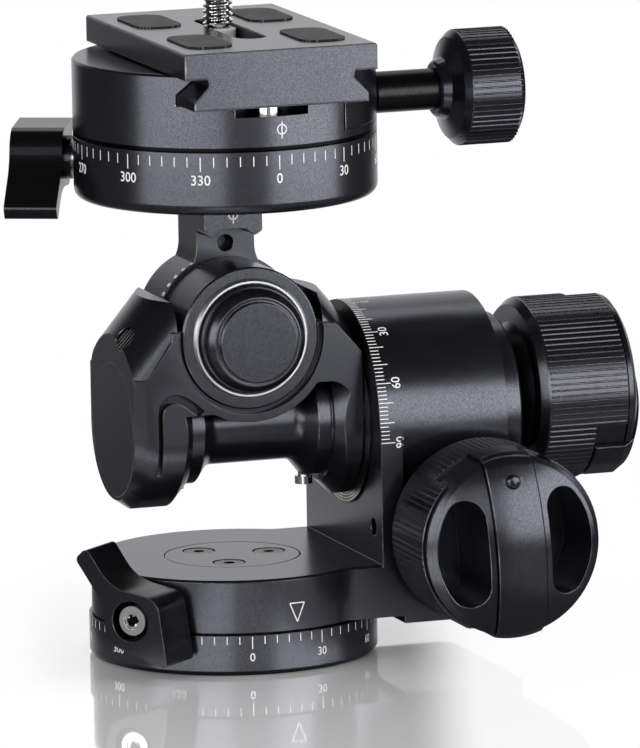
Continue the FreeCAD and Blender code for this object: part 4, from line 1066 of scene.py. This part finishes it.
class HEAD_OT_knurls(bpy.types.Operator):
    """Cuts the straight knurls of the two geared knobs and the clamp knob"""

    bl_idname = "head.knurls"
    bl_label = "Knurls"

    def execute(self, context):
        geared_knurl("roll_knob_knurl", "roll_drive", ROLL_KNOB_CENTRE, (0, -1, 0),
                     ROLL_KNOB_SPIN, length=22.1)
        geared_knurl("pitch_knob_knurl", "pitch_drive", PITCH_KNOB_CENTRE, (1, 0, 0),
                     PITCH_KNOB_SPIN, length=21.0)
        count = sizes().clamp_ridges
        tree = ring_tree("clamp_knob_ridges", "knob", True)
        mesh = ridges(
            tree, CLAMP_KNOB_RADIUS * MM, CLAMP_KNURL_DEPTH * MM, count, 0, count,
            CLAMP_KNURL_START * MM, CLAMP_KNURL_END * MM,
        )
        mesh.transform(placing((0.0, 0.0, CLAMP_KNOB_HEIGHT * MM), (1, 0, 0)))
        finished("clamp_knob_knurl", mesh, "clamp_handle", "knob")
        return {"FINISHED"}


# ---------------------------------------------------------------- screw thread
THREAD_CREST, THREAD_ROOT, THREAD_CORE, THREAD_CHAMFER = 3.175, 2.45, 2.3, 0.6
FLANK_SLOPE = 1.25


def thread_mesh(foot, top, pitch, segments=56, rows_per_turn=14):
    """A right-handed V thread along +Z, closed at both ends, with a chamfer at the top."""
    count = int((top - foot) / pitch * rows_per_turn) + 1

    def row(level):
        def reach(turn):
            phase = (level / pitch - turn / (2 * math.pi)) % 1.0
            rise = min(1.0, FLANK_SLOPE * (1.0 - abs(2.0 * phase - 1.0)))
            flank = (THREAD_ROOT + (THREAD_CREST - THREAD_ROOT) * rise) * MM
            return min(flank, (THREAD_CREST - THREAD_CHAMFER) * MM + max(0.0, top - level))

        return round_row(reach, level, segments)

    return skinned([row(foot + (top - foot) * k / count) for k in range(count + 1)])


class HEAD_OT_camera_thread(bpy.types.Operator):
    """Cuts the thread of the camera screw"""

    bl_idname = "head.camera_thread"
    bl_label = "Camera screw thread"

    def execute(self, context):
        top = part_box("camera_screw")[1].z
        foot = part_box("release_plate")[1].z + 0.15 * MM
        centre = Vector((0, SCREW_PLACE * MM, 0))
        core = bmesh.new()
        core.from_mesh(NODES["camera_screw"].data)
        bmesh.ops.remove_doubles(core, verts=core.verts, dist=0.001 * MM)
        for vertex in core.verts:
            offset = vertex.co - centre
            reach = math.hypot(offset.x, offset.y)
            if vertex.co.z > foot - 0.1 * MM and reach > THREAD_CORE * MM:
                vertex.co.x = centre.x + offset.x * THREAD_CORE * MM / reach
                vertex.co.y = centre.y + offset.y * THREAD_CORE * MM / reach
        thread = thread_mesh(foot, top, sizes().thread_pitch)
        thread.transform(Matrix.Translation(centre))
        screw = joined([released(core, "camera_screw_core"), thread])
        finished("camera_screw_threaded", screw, "stud", "chrome", "camera_screw")
        return {"FINISHED"}


# ---------------------------------------------------------------- stage
SOFTBOX_DISTANCE = 0.5
LAMP_POWER = 4.0
SOFTBOXES = (
    # name, turn to the right of the front and half width in degrees, foot, top and the
    # height it aims at in metres, radiance
    ("left_softbox", -51.0, 33.0, 0.002, 0.30, 0.151, 1.9),
    ("right_softbox", 44.0, 29.0, 0.002, 0.30, 0.151, 2.4),
    ("front_softbox", 1.0, 15.0, 0.06, 0.30, 0.18, 0.75),
    ("back_softbox", 161.0, 34.0, 0.60, 0.82, 0.07, 1.2),
)
FLOOR_REACH = 3.0
# Directions over the floor: away from the usual view, and across it.
AWAY_ACROSS, AWAY_DEEP, AWAY_UP = 0.30, 0.94, 0.16
BESIDE_ACROSS, BESIDE_DEEP = 0.95, 0.32
FLOOR_GLOSS = 0.60
# The view: degrees, metres, and pixels of the picture frame.
VIEW_TURN, VIEW_RISE, VIEW_ROLL = -18.469, 9.641, -0.9995
VIEW_CENTRE, VIEW_DISTANCE = (0, 0, 0.065), 2.2
FRAME_WIDTH, FRAME_HEIGHT, FOCAL_LENGTH = 640.0, 748.0, 10426.35
CENTRE_ACROSS, CENTRE_DOWN = 228.56, 345.81


def shown_ray(finish):
    """1 for the rays that show a surface: from the camera, in reflections and through glass."""
    return (finish.ray("Camera") + finish.ray("Glossy") + finish.ray("Transmission")).clamped()


def backdrop_material():
    """A pale, glossy floor that grows white away from the object and keeps its shadow."""
    finish = Finish("backdrop")
    white = (*colours().backdrop, 1.0)
    across, deep, _ = finish.parts()
    reach = (across * across + deep * deep) ** 0.5
    rear = AWAY_ACROSS * across + AWAY_DEEP * deep
    beside = (BESIDE_ACROSS * across - BESIDE_DEEP * deep).absolute().ramp(0.035, 0.052)
    far = (reach.ramp(0.17, 0.27) + 0.88 * beside + rear.ramp(0.06, 0.12)).clamped()
    finish.set(Base_Color=white, Roughness=1.0, Specular_IOR_Level=0.0)
    gloss = finish.raw("ShaderNodeBsdfGlossy", None, {"Color": white, "Roughness": 0.05})
    lit = ((rear / reach).ramp(0.74, 0.95, 0.08, 1.0) + finish.ray("Camera")).clamped()
    glow = finish.raw("ShaderNodeEmission", None, {
        "Color": finish.colour_mix(lit, BLACK, white), "Strength": 1.0,
    })
    polished = finish.blend(FLOOR_GLOSS, finish.shader.outputs[0], gloss.outputs[0])
    shown = finish.blend(far * shown_ray(finish), polished, glow.outputs[0])
    finish.links.new(shown, finish.nodes["Material Output"].inputs[0])
    return finish.material


class Surround(Finish):
    """The world's shader, built with the same node helpers."""

    def __init__(self, name):
        self.world = bpy.data.worlds.new(name)
        self.world.use_nodes = True
        self.nodes = self.world.node_tree.nodes
        self.links = self.world.node_tree.links
        self.shader = self.nodes["Background"]
        self.place = self.raw("ShaderNodeTexCoord").outputs["Generated"]


def surround(dim, diffuse):
    """White behind the object, dim all round it, and an even light for what is matt."""
    finish = Surround("studio")
    side, back, up = finish.parts()
    away = AWAY_ACROSS * side + AWAY_DEEP * back + AWAY_UP * up
    shown = away.ramp(0.74, 0.95, dim, 1.0)
    seen = shown_ray(finish)
    level = (shown + finish.ray("Camera")).clamped() * seen + diffuse * (1.0 - seen)
    white = (*colours().backdrop, 1.0)
    finish.set(Color=finish.colour_mix(level, BLACK, white), Strength=1.0)
    return finish.world


def softbox(name, turn, half_wide, foot, top, aim, radiance):
    """A soft lamp panel round the head."""
    turn = math.radians(turn)
    lamp = bpy.data.lights.new(name, "AREA")
    lamp.shape = "RECTANGLE"
    lamp.size = 2 * SOFTBOX_DISTANCE * math.tan(math.radians(half_wide))
    lamp.size_y = top - foot
    lamp.energy = LAMP_POWER * radiance * lamp.size * lamp.size_y
    holder = linked(name, lamp)
    holder.location = (
        math.sin(turn) * SOFTBOX_DISTANCE, -math.cos(turn) * SOFTBOX_DISTANCE, (foot + top) / 2
    )
    towards = Vector((0.0, 0.0, aim)) - holder.location
    holder.rotation_euler = towards.to_track_quat("-Z", "Y").to_euler()


class HEAD_OT_stage(bpy.types.Operator):
    """Lays the pale floor, hangs the soft lamps and sets the camera"""

    bl_idname = "head.stage"
    bl_label = "Studio"

    def execute(self, context):
        corners = [(x * FLOOR_REACH, y * FLOOR_REACH, 0) for x, y in
                   ((-1, -1), (1, -1), (1, 1), (-1, 1))]
        floor = bpy.data.meshes.new("floor")
        floor.from_pydata(corners, [], [(0, 1, 2, 3)])
        floor.materials.append(backdrop_material())
        ground = linked("floor", floor)
        ground.location.z = CAD_BOX[0].z - 0.05 * MM

        bpy.context.scene.world = surround(dim=0.02, diffuse=0.80)
        for row in SOFTBOXES:
            softbox(*row)
        self.set_camera()
        bpy.context.scene.view_settings.view_transform = "Standard"
        return {"FINISHED"}

    def set_camera(self):
        """Places the camera, aims it at the centre and rolls it a little."""
        camera = bpy.data.cameras.new("camera")
        camera.sensor_width = 36.0
        camera.lens = FOCAL_LENGTH / FRAME_HEIGHT * camera.sensor_width
        camera.clip_start = 0.1
        camera.clip_end = 20.0
        turn, rise, roll = (math.radians(part) for part in (VIEW_TURN, VIEW_RISE, VIEW_ROLL))
        back = Vector((
            math.sin(turn) * math.cos(rise), -math.cos(turn) * math.cos(rise), math.sin(rise)
        ))
        right = (-back).cross(Vector((0, 0, 1))).normalized()
        up = right.cross(-back)
        right, up = (
            right * math.cos(roll) + up * math.sin(roll),
            up * math.cos(roll) - right * math.sin(roll),
        )
        across, down = FRAME_WIDTH / 2 - CENTRE_ACROSS, FRAME_HEIGHT / 2 - CENTRE_DOWN
        look = (-back + right * (across / FOCAL_LENGTH) - up * (down / FOCAL_LENGTH)).normalized()
        right = (right - look * right.dot(look)).normalized()
        facing = Matrix((right, right.cross(look), -look)).transposed().to_4x4()
        holder = linked("camera", camera)
        place = Vector(VIEW_CENTRE) + back * VIEW_DISTANCE
        holder.matrix_world = Matrix.Translation(place) @ facing
        bpy.context.scene.camera = holder


class HEAD_PT_panel(bpy.types.Panel):
    """The finishing steps of the head, in order"""

    bl_label = "Geared tripod head"
    bl_idname = "HEAD_PT_panel"
    bl_space_type = "VIEW_3D"
    bl_region_type = "UI"
    bl_category = "Head"

    def draw(self, context):
        for group in (context.scene.head_colours, context.scene.head_sizes):
            box = self.layout.box()
            for name in group.bl_rna.properties.keys():
                if name not in ("rna_type", "name"):
                    box.prop(group, name)
        for step in STEPS:
            self.layout.operator(step.bl_idname)


STEPS = (
    HEAD_OT_castings,
    HEAD_OT_ring_scales,
    HEAD_OT_barrel_scale,
    HEAD_OT_index_marks,
    HEAD_OT_small_details,
    HEAD_OT_knurls,
    HEAD_OT_camera_thread,
    HEAD_OT_stage,
)
CLASSES = (HeadColours, HeadSizes, *STEPS, HEAD_PT_panel)


def register():
    for kind in CLASSES:
        bpy.utils.register_class(kind)
    bpy.types.Scene.head_colours = PointerProperty(type=HeadColours)
    bpy.types.Scene.head_sizes = PointerProperty(type=HeadSizes)


def unregister():
    del bpy.types.Scene.head_sizes
    del bpy.types.Scene.head_colours
    for kind in reversed(CLASSES):
        bpy.utils.unregister_class(kind)


def main():
    register()
    for step in STEPS:
        group, name = step.bl_idname.split(".")
        getattr(getattr(bpy.ops, group), name)()


if __name__ == "__main__":
    main()
